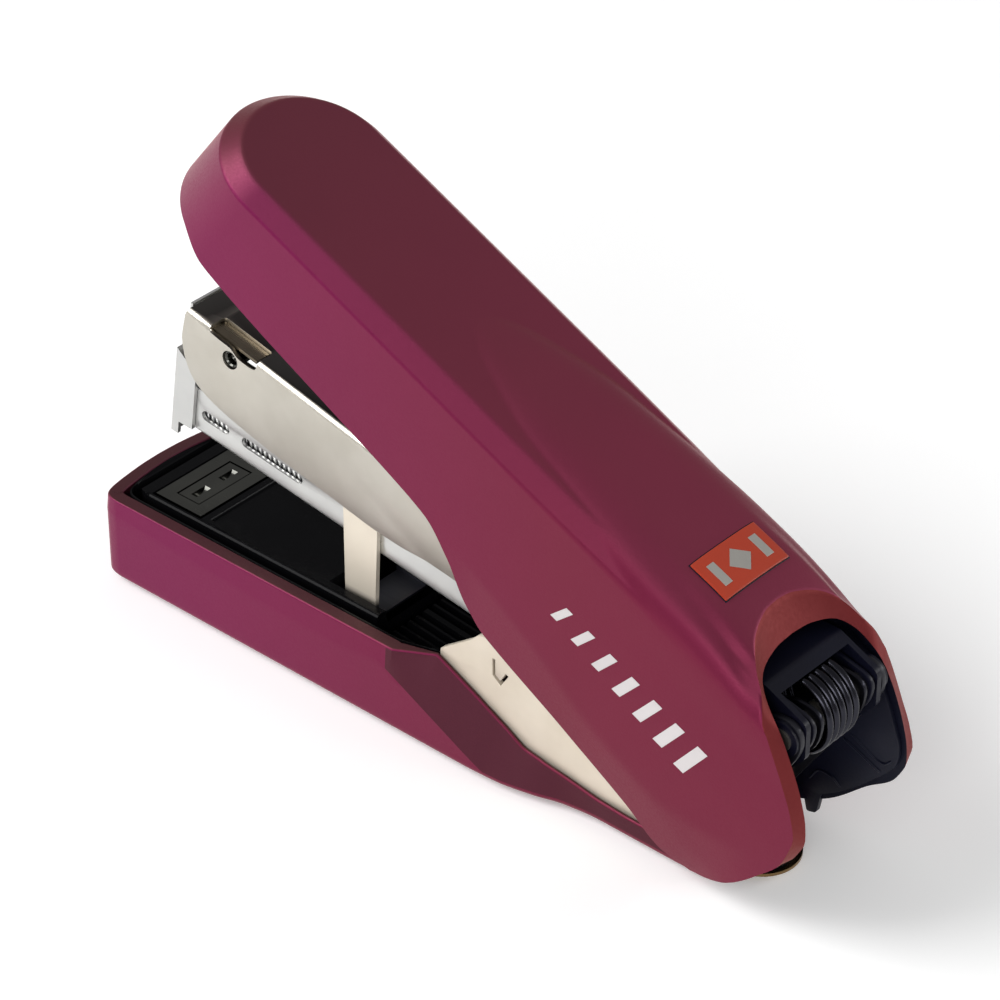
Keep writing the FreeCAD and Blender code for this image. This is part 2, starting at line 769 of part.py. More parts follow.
def make_driver_pieces():
    start = S["mag_nose"] - 0.05
    roof = Vec(-S["drive_nose"] + 1.2, 0, -S["roof_drop"] - S["drive_thick"])
    spot = MAGAZINE.inverse().multVec(DRIVE.multVec(roof))
    low = -S["mag_under"] + S["mag_thick"] + S["strip_height"] + 0.6
    half = S["strip_half"]
    blade = block((-start, -start + S["blade_thick"]), (-half, half), (low, spot.z - 0.4))
    solid("driver_blade", blade, MAGAZINE)
    rod("nose_pin", "pin_radius", "drive_half + 0.5", "-drive_nose + 11.9", "-roof_drop - 3.6", DRIVE)
    inside = S["drive_half"] - S["drive_thick"] - 0.1
    top = -S["roof_drop"] - S["drive_thick"] - 0.02
    tab = block((-S["drive_nose"] + 5.5, -S["drive_nose"] + 17), (-inside, inside), (top - 0.6, top))
    solid("retainer_tab", tab, DRIVE)
    level = -S["roof_drop"]
    wear = block((-34, -21.5), (-5, 5), (level + 0.02, level + S["wear_thick"]))
    solid("wear_plate", wear, DRIVE)


make_driver_frame()
make_driver_pieces()

# ---------------------------------------------------------------- handle


def handle_outline(half, tail_half, nose, level):
    """The handle seen along its tilted up axis: a half-round nose and sides that draw in slightly."""
    tail = 40.0
    centre = -nose + half
    near = Vec(centre, -half, level)
    far = Vec(centre, half, level)
    edges = [
        Part.makeLine(Vec(tail, -tail_half, level), near),
        Part.Arc(near, Vec(-nose, 0, level), far).toShape(),
        Part.makeLine(far, Vec(tail, tail_half, level)),
        Part.makeLine(Vec(tail, tail_half, level), Vec(tail, -tail_half, level)),
    ]
    return Part.Wire(edges)


def handle_mass(inset, top_drop):
    """The closed handle form: a leaning wall up to the crease, then a bevel up to the plateau."""
    half = S["handle_half"] - inset
    tail = S["handle_tail_half"] - inset
    nose = S["handle_nose"] - inset
    crease = S["crease_level"] - top_drop
    low = -40.0
    lean = (crease - low) * S["handle_lean"]
    bevel = S["plateau_inset"]
    skirt = handle_outline(half, tail, nose + lean, low)
    belt = handle_outline(half, tail, nose, crease)
    flat = handle_outline(half - bevel, tail - bevel, nose - bevel, S["plateau_level"] - top_drop)
    wall = Part.makeLoft([skirt, belt], True, True)
    return wall.fuse(Part.makeLoft([belt, flat], True, True))


def hump_section(along, half, top, foot):
    """A rise across the handle: flat foot, sloping sides, round shoulders and a flat top."""
    fall = 2.2
    flat = half * 0.75
    bend = (half - flat) * math.sqrt(0.5)
    left, right = Vec(along, -half - fall, foot), Vec(along, half + fall, foot)
    near, far = Vec(along, -half, top - fall), Vec(along, half, top - fall)
    crest_near, crest_far = Vec(along, -flat, top), Vec(along, flat, top)
    ease = top - fall * (1 - math.sqrt(0.5))
    edges = [
        Part.makeLine(left, near),
        Part.Arc(near, Vec(along, -flat - bend, ease), crest_near).toShape(),
        Part.makeLine(crest_near, crest_far),
        Part.Arc(crest_far, Vec(along, flat + bend, ease), far).toShape(),
        Part.makeLine(far, right),
        Part.makeLine(right, left),
    ]
    return Part.Wire(edges)


def make_hump():
    """The rounded spine that swells out of the plateau towards the tail."""
    start = -S["hump_start"]
    foot = S["crease_level"] - 3
    flat = S["plateau_level"]
    stations = (
        (start, S["hump_half"] * 0.15, flat - 0.2),
        (start + 24, S["hump_half"] * 0.7, flat + 1.1),
        (start + 48, S["hump_half"], S["hump_level"] - 0.2),
        (start + 84, S["hump_half"], S["hump_level"]),
    )
    return Part.makeLoft([hump_section(x, half, top, foot) for x, half, top in stations], True, False)


def handle_profile():
    """Side view of the handle: lower edge with its step, rounded cheek, rear slope and open top."""
    ahead = -S["handle_nose"] - 30
    sky = 60

    def at(along, up):
        return Vec(along, 0, up)

    cheek = at(3.5, 0.4 - S["cheek_radius"])
    step_foot = at(-44, -6.2)
    belly = at(-8, -12)
    back = at(S["cheek_radius"] + 6.5, 11.5)
    brow = at(11.1, S["crease_level"] - 0.9)
    crown = at(3, S["hump_level"] + 1.4)
    lower = [at(ahead, sky), at(ahead, 15.2), at(-122, 14.7), at(-110, 8.8)]
    lower += [at(-60, 5), at(-52, 1.8), step_foot]
    upper = [brow, crown, at(crown.x, sky), at(ahead, sky)]
    edges = [Part.makeLine(a, b) for spots in (lower, upper) for a, b in zip(spots, spots[1:])]
    bends = (
        (step_foot, at(-30, -9.4), belly),
        (belly, at(-2.5, -13.9), cheek),
        (cheek, at(17.2, -4), back),
        (back, at(19.4, 18.9), brow),
    )
    edges += [Part.Arc(*bend).toShape() for bend in bends]
    face = Part.Face(Part.Wire(Part.__sortEdges__(edges)))
    reach = S["base_half"] + 10
    face.translate(Vec(0, -reach, 0))
    return face.extrude(Vec(0, 2 * reach, 0))


def make_handle_shell():
    form = handle_mass(0, 0).fuse(make_hump()).common(handle_profile())
    hollow = handle_mass(S["handle_wall"], S["handle_wall"])
    shell = form.cut(hollow)
    shell = shell.cut(badge_block(S["badge_thick"], S["side_gap"] / 3))
    return solid("handle_shell", shell, HANDLE)


def badge_block(depth, gap):
    """The space of the badge on the hump, grown by a gap all round."""
    back = -S["badge_back"] + gap
    front = -S["badge_back"] - S["badge_length"] - gap
    half = S["badge_half"] + gap
    crown = S["hump_level"] + 0.1
    return block((front, back), (-half, half), (crown - depth - gap, crown))


def make_liner():
    """Black lining: two cheek plates joined by a roof ahead of the lever frame."""
    corners = [
        (-44, 18),
        (-44, "liner_roof + 1.3"),
        (-12, "liner_roof + 1.3"),
        (-12, 19.5),
        (12, 19.5),
        (18.5, 13),
        (19, 7),
        (13, -5.5),
        (4, -11),
        (-8, -9),
        (-30, -5),
    ]
    body = side_body("handle_liner", corners, "liner_half", HANDLE)
    round_off(body, [corners[5], corners[7], corners[8], corners[9]], "3")
    carve(
        body,
        "middle",
        [(-60, -60), (-60, "liner_roof"), (60, "liner_roof"), (60, -60)],
        "liner_half - liner_thick",
    )
    side_hole(body, "lever_hole", 0, 0, "lever_radius + run_gap")
    return body


def roller_spot():
    """Middle of the press roller, a hair above the wear plate, in the base's own axes."""
    contact = Vec(-24.5, 0, -S["roof_drop"] + S["wear_thick"] + S["side_gap"] + S["roller_radius"])
    return DRIVE.multVec(contact)


def make_roller():
    spot = roller_spot()
    half = S["roller_half"]
    wheel = Part.makeCylinder(S["roller_radius"], 2 * half, Vec(spot.x, -half, spot.z), ACROSS)
    bore = Part.makeCylinder(S["axle_radius"] + S["run_gap"], 2 * half, Vec(spot.x, -half, spot.z), ACROSS)
    solid("press_roller", wheel.cut(bore))
    inside = S["liner_half"] - S["liner_thick"] - 0.05
    axle = Part.makeCylinder(S["axle_radius"], 2 * inside, Vec(spot.x, -inside, spot.z), ACROSS)
    solid("roller_axle", axle)


make_handle_shell()
make_liner()
make_roller()
solid("badge", badge_block(S["badge_thick"], 0), HANDLE)

# ---------------------------------------------------------------- check and write

doc.recompute()
for item in doc.Objects:
    if "Invalid" in item.State or "Error" in item.State:
        raise RuntimeError(f"{item.Name} failed: {item.State}")

STEPS = ("PartDesign::Pad", "PartDesign::Pocket", "PartDesign::Fillet")
HELPERS = ("App::", "Sketcher::", "Spreadsheet::", *STEPS)
pieces = [item for item in doc.Objects if not item.TypeId.startswith(HELPERS)]
for piece in pieces:
    if piece.Shape.isNull() or not piece.Shape.isValid():
        raise RuntimeError(f"{piece.Label} has no valid shape")

os.makedirs("parts", exist_ok=True)
for piece in pieces:
    piece.Shape.exportStep(f"parts/{piece.Label}.step")
    print(piece.Label, round(piece.Shape.Volume, 1), len(piece.Shape.Solids))
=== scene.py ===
import json
import math

import bmesh
import bpy
import numpy as np
from mathutils import Matrix, Vector
from mathutils.geometry import delaunay_2d_cdt


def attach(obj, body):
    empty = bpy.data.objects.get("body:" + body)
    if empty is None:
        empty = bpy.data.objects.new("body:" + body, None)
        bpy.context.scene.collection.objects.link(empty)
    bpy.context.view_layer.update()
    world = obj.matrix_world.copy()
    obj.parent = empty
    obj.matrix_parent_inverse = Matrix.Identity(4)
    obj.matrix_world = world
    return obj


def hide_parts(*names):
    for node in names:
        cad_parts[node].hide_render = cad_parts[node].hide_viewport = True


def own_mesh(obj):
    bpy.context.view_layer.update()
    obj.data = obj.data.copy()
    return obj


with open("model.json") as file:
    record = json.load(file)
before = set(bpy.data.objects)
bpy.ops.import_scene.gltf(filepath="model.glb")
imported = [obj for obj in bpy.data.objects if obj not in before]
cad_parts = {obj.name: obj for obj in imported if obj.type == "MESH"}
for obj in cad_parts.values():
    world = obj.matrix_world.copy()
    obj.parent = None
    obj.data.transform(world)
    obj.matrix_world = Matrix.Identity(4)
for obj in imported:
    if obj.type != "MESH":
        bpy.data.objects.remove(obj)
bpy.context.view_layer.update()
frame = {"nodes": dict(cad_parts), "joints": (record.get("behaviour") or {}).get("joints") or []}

# The frame is in metres and the shapes below are worked out in millimetres.
MM = 0.001
JOINTS = {joint["name"]: joint for joint in frame["joints"]}
LEVER_PIN = np.array(JOINTS["handle_press"]["pos_m"]) / MM
REAR_SHAFT = np.array(JOINTS["magazine_tilt"]["pos_m"]) / MM
# How far each part dips towards the tail at rest, in degrees.
HANDLE_PITCH = 25.0
DRIVER_PITCH = 13.5
MAGAZINE_PITCH = 8.2
# Radius of the holes on the rear shaft.
SHAFT_HOLE = 2.05


# ---------------- numbers and curves


def ease(x, start, end):
    """Smooth step: 0 before start, 1 after end, 3q^2 - 2q^3 between."""
    q = np.clip((np.asarray(x, float) - start) / (end - start), 0, 1)
    return q * q * (3 - 2 * q)


def soft_max(a, b, width):
    """The larger of two heights, with a fillet of the given width where they cross."""
    q = np.clip(0.5 + 0.5 * (a - b) / width, 0, 1)
    return b + (a - b) * q + width * q * (1 - q)


def flow(x, spots):
    """A smooth line through (x, value) spots: Hermite pieces with slopes that never overshoot."""
    knots = np.array(spots, float)
    px, py = knots[:, 0], knots[:, 1]
    step = np.diff(px)
    rise = np.diff(py) / step
    slope = np.zeros(len(px))
    slope[0], slope[-1] = rise[0], rise[-1]
    same = rise[:-1] * rise[1:] > 0
    pair = 2 * rise[:-1] * rise[1:] / np.where(same, rise[:-1] + rise[1:], 1)
    slope[1:-1] = np.where(same, pair, 0)
    x = np.clip(np.asarray(x, float), px[0], px[-1])
    k = np.clip(np.searchsorted(px, x, side="right") - 1, 0, len(step) - 1)
    t = (x - px[k]) / step[k]
    a = (1 + 2 * t) * (1 - t) ** 2
    b = t * (1 - t) ** 2
    c = t * t * (3 - 2 * t)
    d = t * t * (t - 1)
    return a * py[k] + b * step[k] * slope[k] + c * py[k + 1] + d * step[k] * slope[k + 1]


def trail(q, spots):
    """A smooth curve through points, read at q from 0 to 1 of its chord length."""
    spots = np.array(spots, float)
    reach = np.concatenate(([0], np.cumsum(np.linalg.norm(np.diff(spots, axis=0), axis=1))))
    reach /= reach[-1]
    return np.stack([flow(q, np.column_stack((reach, spots[:, k]))) for k in range(spots.shape[1])], -1)


def heading(path):
    """Unit direction of a path at each of its points."""
    way = np.gradient(path, axis=0)
    return way / np.linalg.norm(way, axis=1)[:, None]


def tilt(points, pivot, pitch):
    """Points (along, across, up) of a part that dips towards the tail by the pitch, put in the frame."""
    turn = math.radians(pitch)
    along, across, up = points[..., 0], points[..., 1], points[..., 2]
    x = pivot[0] + along * math.cos(turn) + up * math.sin(turn)
    z = pivot[2] - along * math.sin(turn) + up * math.cos(turn)
    return np.stack([x, across + 0 * x, z], -1)


def on_handle(points):
    return tilt(points, LEVER_PIN, HANDLE_PITCH)


def on_driver(points):
    return tilt(points, REAR_SHAFT, DRIVER_PITCH)


def on_magazine(points):
    return tilt(points, REAR_SHAFT, MAGAZINE_PITCH)


def mirrored(grid):
    return grid * np.array([1, -1, 1])


def upright(flat, level):
    """Flat spots (along, up) stood on edge at a level across."""
    return np.column_stack((flat[:, 0], np.full(len(flat), level), flat[:, 1]))


def lying(flat, level):
    """Flat spots (along, across) laid at one height."""
    return np.column_stack((flat, np.full(len(flat), level)))


# ---------------- meshes


def grid_faces(rows, cols, start=0, wrap=False):
    """Quads of a grid of rows by cols points; wrap joins the last column to the first."""
    index = np.arange(rows * cols).reshape(rows, cols) + start
    if wrap:
        index = np.concatenate([index, index[:, :1]], axis=1)
    a, b = index[:-1, :-1], index[:-1, 1:]
    c, d = index[1:, 1:], index[1:, :-1]
    return np.stack([a, b, c, d], -1).reshape(-1, 4)


def add(name, data):
    """A new object in the scene."""
    made = bpy.data.objects.new(name, data)
    bpy.context.scene.collection.objects.link(made)
    return made


def soften(mesh, sharp):
    """Smooth shading, but for the edges where faces meet at more than an angle in degrees."""
    mesh.polygons.foreach_set("use_smooth", [True] * len(mesh.polygons))
    mesh.set_sharp_from_angle(angle=math.radians(sharp))


def piece(name, grids, body, material, sharp, replaces=(), others=()):
    """One piece from (points, wrap) grids in millimetres, welded and turned outwards.

    A grid may carry a third entry, the number of its material among the finish and the others.
    """
    points, faces, finish, start = [], [], [], 0
    for grid, wrap, *other in grids:
        rows, cols = grid.shape[:2]
        points.append(grid.reshape(-1, 3))
        faces.append(grid_faces(rows, cols, start, wrap))
        finish.append(np.full(len(faces[-1]), other[0] if other else 0))
        start += rows * cols
    mesh = bpy.data.meshes.new(name)
    mesh.from_pydata((np.concatenate(points) * MM).tolist(), [], np.concatenate(faces).tolist())
    mesh.polygons.foreach_set("material_index", np.concatenate(finish))
    weld(mesh)
    soften(mesh, sharp)
    return settle(name, mesh, body, material, replaces, others)


def weld(mesh):
    """Joins doubled points, drops flat faces and turns every face outwards."""
    work = bmesh.new()
    work.from_mesh(mesh)
    bmesh.ops.remove_doubles(work, verts=work.verts, dist=2e-6)
    bmesh.ops.dissolve_degenerate(work, edges=work.edges, dist=1e-7)
    bmesh.ops.recalc_face_normals(work, faces=work.faces)
    work.to_mesh(mesh)
    work.free()


def settle(name, mesh, body, material, replaces, others=()):
    """Makes the object, gives it its finish and ties it to its body."""
    thing = add(name, mesh)
    for finish in (material, *others):
        mesh.materials.append(finish)
    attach(thing, body)
    if replaces:
        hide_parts(*replaces)
    return thing


def inside(spots, loop):
    """Which spots lie inside a closed loop, by the crossings of a ray."""
    x, y = spots[:, :1], spots[:, 1:]
    a, b = np.array(loop), np.roll(loop, -1, axis=0)
    crosses = (a[:, 1] > y) != (b[:, 1] > y)
    run = np.where(b[:, 1] == a[:, 1], 1e-9, b[:, 1] - a[:, 1])
    meets = a[:, 0] + (y - a[:, 1]) * (b[:, 0] - a[:, 0]) / run
    return (crosses & (x < meets)).sum(axis=1) % 2 == 1


def disc(x, y, radius, count=28):
    """A round hole as a loop of spots."""
    turn = np.linspace(0, 2 * math.pi, count, endpoint=False)
    return np.column_stack((x + radius * np.cos(turn), y + radius * np.sin(turn)))


def slot_loop(start, end, low, high, count=9):
    """A hole with half-round ends."""
    radius = (high - low) / 2
    turn = np.linspace(-math.pi / 2, math.pi / 2, count)
    right = np.column_stack((end - radius + radius * np.cos(turn), low + radius + radius * np.sin(turn)))
    left = np.column_stack((start + radius - radius * np.cos(turn), high - radius - radius * np.sin(turn)))
    return np.concatenate((right, left))


def rounded(corners, radius, steps=5):
    """A polygon with its corners cut to arcs: each corner runs along a quadratic curve."""
    spots = np.array(corners, float)
    q = np.linspace(0, 1, steps)[:, None]
    out = []
    for k, here in enumerate(spots):
        before, after = spots[k - 1], spots[(k + 1) % len(spots)]
        size = radius[k] if isinstance(radius, (list, tuple)) else radius
        if size == 0:
            out.append(here[None])
            continue
        a = here + (before - here) * min(size / np.linalg.norm(before - here), 0.45)
        b = here + (after - here) * min(size / np.linalg.norm(after - here), 0.45)
        out.append((1 - q) ** 2 * a + 2 * q * (1 - q) * here + q * q * b)
    return np.concatenate(out)


def cut_blank(loop, holes, lines):
    """Triangles of a flat sheet with holes, split along the fold lines."""
    spots, edges, start = [], [], 0
    for ring in (loop, *holes):
        ring = np.asarray(ring, float)
        index = np.arange(len(ring)) + start
        spots.append(ring)
        edges.append(np.column_stack((index, np.roll(index, -1))))
        start += len(ring)
    for line in lines:
        spots.append(np.array(line, float))
        edges.append(np.array([[start, start + 1]]))
        start += 2
    flat = [Vector(p) for p in np.concatenate(spots).tolist()]
    made = delaunay_2d_cdt(flat, np.concatenate(edges).tolist(), [], 0, 1e-5, False)
    points = np.array([tuple(p) for p in made[0]])
    faces = np.array(made[2])
    middle = points[faces].mean(axis=1)
    keep = inside(middle, loop)
    for hole in holes:
        keep &= ~inside(middle, hole)
    return points, faces[keep]


def fold(blank, half, level, radius, way):
    """Wraps a flat sheet (along, spread) into a channel: flat middle, round bends, straight flanks."""
    along, spread = blank[:, 0], blank[:, 1]
    flat = half - radius
    past = np.clip(np.abs(spread) - flat, 0, None)
    turn = np.clip(past / radius, 0, math.pi / 2)
    across = np.minimum(np.abs(spread), flat) + radius * np.sin(turn)
    drop = radius * (1 - np.cos(turn)) + np.clip(past - radius * math.pi / 2, 0, None)
    return np.stack([along, np.sign(spread) * across, level + way * drop], -1)


def sheet(name, points, faces, thick, outward, body, material, replaces=(), soft=0.12, onto=None):
    """A piece from a folded sheet, which gets its thickness on the inner side and broken edges.

    onto is (skin, axis, rise): the sheet is first laid on the skin along that axis, standing proud by rise.
    """
    mesh = bpy.data.meshes.new(name)
    mesh.from_pydata((points * MM).tolist(), [], faces.tolist())
    work = bmesh.new()
    work.from_mesh(mesh)
    bmesh.ops.remove_doubles(work, verts=work.verts, dist=2e-6)
    bmesh.ops.recalc_face_normals(work, faces=work.faces)
    work.faces.ensure_lookup_table()
    lead = max(work.faces, key=lambda face: face.calc_area())
    if lead.normal.dot(Vector(outward(lead.calc_center_median()))) < 0:
        bmesh.ops.reverse_faces(work, faces=work.faces)
    work.to_mesh(mesh)
    work.free()
    shape = add(name + "_blank", mesh)
    if onto:
        lay = shape.modifiers.new("lay", "SHRINKWRAP")
        lay.target = onto[0]
        lay.wrap_method = "PROJECT"
        lay.wrap_mode = "ABOVE_SURFACE"
        lay.use_project_y = onto[1] == "Y"
        lay.use_project_z = onto[1] == "Z"
        lay.use_negative_direction = True
        lay.offset = onto[2] * MM
    wall = shape.modifiers.new("wall", "SOLIDIFY")
    wall.thickness = thick * MM
    wall.offset = -1
    wall.use_even_offset = True
    edge = shape.modifiers.new("edge", "BEVEL")
    edge.width = soft * MM
    edge.segments = 2
    edge.limit_method = "ANGLE"
    edge.angle_limit = math.radians(50)
    graph = bpy.context.evaluated_depsgraph_get()
    done = bpy.data.meshes.new_from_object(shape.evaluated_get(graph))
    bpy.data.objects.remove(shape)
    bpy.data.meshes.remove(mesh)
    done.name = name
    soften(done, 32.0)
    settle(name, done, body, material, replaces)


def channel(name, edge, holes, half, level, radius, way, thick, place, body, material, replaces, lip=()):
    """A pressed channel from a flat blank: edge is the free edge as (along, depth), holes sit on the flank.

    way is -1 for a channel that opens downwards and 1 for one that opens upwards.
    """
    flat = half - radius

    def unroll(spots):
        spots = np.array(spots, float)
        spread = flat + radius * math.pi / 2 + spots[:, 1] - radius
        spread = np.where(spots[:, 1] <= 0, flat + spots[:, 1], spread)
        return np.column_stack((spots[:, 0], spread))

    near = np.concatenate([np.array(lip, float).reshape(-1, 2), unroll(edge)])
    far = near[::-1] * np.array([1, -1])
    far = far[np.abs(far[:, 1]) > 1e-6]
    loop = np.concatenate((near, far))
    cuts = [unroll(hole) for hole in holes]
    cuts += [hole * np.array([1, -1]) for hole in cuts]
    ends = loop[:, 0].min() - 1, loop[:, 0].max() + 1
    bends = flat + radius * math.pi / 2 * np.linspace(0, 1, 7)
    lines = [[(ends[0], s), (ends[1], s)] for side in (-1, 1) for s in bends * side]
    blank, faces = cut_blank(loop, cuts, lines)
    points = place(fold(blank, half, level, radius, way))
    sheet(name, points, faces, thick, lambda spot: (0, spot.y, -way * 0.001), body, material, replaces)


def cheek(name, loop, hole, level, place, thick, body, replaces=()):
    """A flat black plate stood on edge, with one round hole at its pivot."""
    blank, faces = cut_blank(loop, [disc(0, 0, hole)], [])
    side, points = math.copysign(1, level), place(upright(blank, level))
    sheet(name, points, faces, thick, lambda spot: (0, side, 0), body, BLACK_MATTE, replaces)


# ---------------- finishes


class Finish:
    """A material's node tree with short ways to add and join nodes."""

    def __init__(self, name):
        self.material = bpy.data.materials.new(name)
        self.material.use_nodes = True
        self.tree = self.material.node_tree
        self.shader = self.tree.nodes["Principled BSDF"]
        spot = self.tree.nodes.new("ShaderNodeTexCoord")
        self.place, self.normal = spot.outputs["Object"], spot.outputs["Normal"]

    def node(self, kind, **sockets):
        made = self.tree.nodes.new(kind)
        for key, held in sockets.items():
            made.inputs[key.replace("_", " ")].default_value = held
        return made

    def join(self, source, target):
        self.tree.links.new(source, target)

    def mapped(self, scale=(1, 1, 1), turn=(0, 0, 0)):
        """Object coordinates, scaled and turned."""
        made = self.node("ShaderNodeMapping", Scale=scale, Rotation=turn)
        self.join(self.place, made.inputs["Vector"])
        return made.outputs["Vector"]

    def axis(self, source, letter):
        """One of a vector's three values."""
        made = self.node("ShaderNodeSeparateXYZ")
        self.join(source, made.inputs["Vector"])
        return made.outputs[letter]

    def noise(self, scale, detail=4.0, rough=0.55, where=None):
        made = self.node("ShaderNodeTexNoise", Scale=scale, Detail=detail, Roughness=rough)
        self.join(where or self.place, made.inputs["Vector"])
        return made.outputs["Fac"]

    def spread(self, source, low, high, from_low=0.3, from_high=0.7):
        """Carries a 0..1 value onto another range."""
        made = self.node("ShaderNodeMapRange", From_Min=from_low, From_Max=from_high, To_Min=low, To_Max=high)
        self.join(source, made.inputs["Value"])
        return made.outputs["Result"]

    def blend(self, fac, first, second, way="MIX"):
        """Mixes two colours; each is a tone or another node's output."""
        made = self.tree.nodes.new("ShaderNodeMix")
        made.data_type = "RGBA"
        made.blend_type = way
        for key, colour in (("A", first), ("B", second)):
            if isinstance(colour, tuple):
                made.inputs[key].default_value = (*colour, 1)
            else:
                self.join(colour, made.inputs[key])
        self.join(fac, made.inputs["Factor"])
        return made.outputs["Result"]

    def bump(self, height, strength, distance):
        made = self.node("ShaderNodeBump", Strength=strength, Distance=distance)
        self.join(height, made.inputs["Height"])
        self.drive(Normal=made.outputs["Normal"])

    def drive(self, **sources):
        """Joins node outputs to the shader's sockets."""
        for key, source in sources.items():
            self.join(source, self.shader.inputs[key.replace("_", " ")])

    def set(self, **sockets):
        """Sets constants on the shader's sockets."""
        for key, held in sockets.items():
            self.shader.inputs[key.replace("_", " ")].default_value = held


def moulded(name, colour, deep, rough, coat=0.0, metallic=0.0, specular=0.5):
    """Moulded plastic: faint cloudy colour, fine spark-eroded grain and slightly uneven gloss."""
    finish = Finish(name)
    cloud, fine = finish.noise(35.0, 3.0), finish.noise(2600.0, 2.0)
    finish.drive(Base_Color=finish.blend(finish.spread(cloud, 0, 1), deep, colour))
    finish.drive(Roughness=finish.spread(fine, rough - 0.05, rough + 0.07))
    finish.bump(fine, 0.35, 0.00004)
    finish.set(Metallic=metallic, Coat_Weight=coat, Coat_Roughness=0.25, Specular_IOR_Level=specular)
    return finish.material


def plated(name, colour, deep, rough, metallic=1.0, dark=None, lid=0.0):
    """Pressed steel: long rolling marks, a slightly uneven sheen and faint handling haze.

    dark is (axis, start, end): past the end, along that axis, the steel is painted near-black as painted shade where a
    part runs into shadow.
    lid is how much faces that look up are darkened, a painted dark reflection.
    """
    finish = Finish(name)
    lines = finish.noise(1.0, 4.0, 0.6, finish.mapped((60, 2500, 60)))
    tone = finish.blend(finish.spread(finish.noise(90.0, 3.0), 0, 1), deep, colour)
    # Painted shade: past the span, along the axis, the tone goes near-black.
    if dark:
        letter, start, end = dark
        past = finish.spread(finish.axis(finish.place, letter), 0, 1, start, end)
        tone = finish.blend(past, tone, (0.012, 0.012, 0.018))
    # Painted dark reflection on faces that look up.
    if lid:
        top_shading = finish.spread(finish.axis(finish.normal, "Z"), 0, lid, 0.85, 0.96)
        tone = finish.blend(top_shading, tone, (0.02, 0.017, 0.02))
    finish.drive(Base_Color=tone, Roughness=finish.spread(lines, rough - 0.06, rough + 0.08))
    finish.bump(lines, 0.12, 0.00002)
    finish.set(Metallic=metallic, Specular_IOR_Level=0.5)
    return finish.material


def wine_paint(name, grain, rough, flank, crown, edge):
    """Satin metallic wine colour: violet towards the nose, redder at the tail, and a painted rim highlight in the edge
    colour where the surface is seen edge-on.

    flank and crown are (tail colour, nose colour). Faces that look up take the crown's, which is greyer:
    painted shading for how the light falls on the top and what it reflects.
    """
    finish = Finish(name)
    run = finish.spread(finish.axis(finish.place, "X"), 1, 0, -0.06, 0.03)
    # Painted shading: faces that look up are given the crown colour.
    top_shading = finish.spread(finish.axis(finish.normal, "Z"), 0, 1, 0.5, 0.93)
    tone = finish.blend(top_shading, finish.blend(run, *flank), finish.blend(run, *crown))
    # Painted rim highlight: the edge colour where the surface is seen edge-on.
    rim_highlight = finish.node("ShaderNodeLayerWeight", Blend=0.09).outputs["Facing"]
    tone = finish.blend(rim_highlight, tone, edge)
    cloud = finish.spread(finish.noise(30.0, 3.0), 0, 0.3)
    tone = finish.blend(cloud, tone, (0.82, 0.8, 0.84), "MULTIPLY")
    fine = finish.noise(grain, 2.0)
    finish.drive(Base_Color=tone, Roughness=finish.spread(fine, rough - 0.05, rough + 0.06))
    finish.bump(fine, 0.3, 0.00005)
    finish.set(Metallic=0.5, Specular_IOR_Level=0.24)
    finish.set(Sheen_Weight=0.05, Sheen_Roughness=0.3, Sheen_Tint=(1.0, 0.25, 0.12, 1.0))
    return finish.material


def staple_wires():
    """Bright wire laid side by side: fine even ridges across the stick, with darker gaps."""
    finish = Finish("staple_wire")
    ridges = finish.node("ShaderNodeTexWave", Scale=285.0)
    finish.join(finish.mapped(turn=(0, math.radians(MAGAZINE_PITCH), 0)), ridges.inputs["Vector"])
    gap = finish.spread(ridges.outputs["Fac"], 1, 0, 0.1, 0.45)
    finish.drive(Base_Color=finish.blend(gap, (0.75, 0.75, 0.74), (0.10, 0.10, 0.11)))
    finish.bump(ridges.outputs["Fac"], 0.6, 0.0002)
    finish.set(Metallic=1.0, Roughness=0.28)
    return finish.material


# In each wine finish the crown colours are painted shading of the faces that look up.
WINE = wine_paint(
    "satin_wine_plastic", 2600.0, 0.42,
    ((0.142, 0.0075, 0.036), (0.165, 0.004, 0.066)), ((0.205, 0.030, 0.064), (0.125, 0.030, 0.046)),
    (0.36, 0.055, 0.04),
)
WINE_EDGE = wine_paint(
    "textured_wine_edge", 1500.0, 0.55,
    ((0.17, 0.020, 0.022), (0.16, 0.012, 0.05)), ((0.20, 0.026, 0.026), (0.16, 0.02, 0.05)),
    (0.32, 0.06, 0.04),
)
# Painted shade: a darker wine for the tub's leaning facet and its inner wall, which lie in shade.
WINE_SHADE = wine_paint(
    "wine_plastic_painted_shade", 2600.0, 0.5,
    ((0.078, 0.014, 0.026), (0.082, 0.014, 0.030)), ((0.070, 0.022, 0.026), (0.070, 0.022, 0.028)),
    (0.12, 0.02, 0.02),
)
NICKEL_TONES = (0.57, 0.54, 0.48), (0.50, 0.47, 0.41)
CREAM_TONES = (0.68, 0.61, 0.51), (0.61, 0.54, 0.44)
STRAP_TONES = (0.74, 0.67, 0.56), (0.68, 0.61, 0.51)
BRIGHT_TONES = (0.62, 0.62, 0.60), (0.54, 0.54, 0.53)
NICKEL = plated("nickel_plate", *NICKEL_TONES, 0.36)
# Painted shade: the base channel darkens from 52 mm and is near-black past 58 mm, at its rear ears inside the handle's
# tail.
CREAM = plated("warm_pressed_steel", *CREAM_TONES, 0.42, metallic=0.45, dark=("X", 0.052, 0.058))
# Painted shade: the stirrup darkens below 17.5 mm and is near-black below 15.5 mm, down in the pit.
STRAP = plated("warm_strap_steel", *STRAP_TONES, 0.42, metallic=0.25, dark=("Z", 0.0175, 0.0155))
# Painted dark reflection: faces of the driver channel that look up are darkened.
DRIVER_STEEL = plated("nickel_painted_top_shade", *NICKEL_TONES, 0.36, lid=0.9)
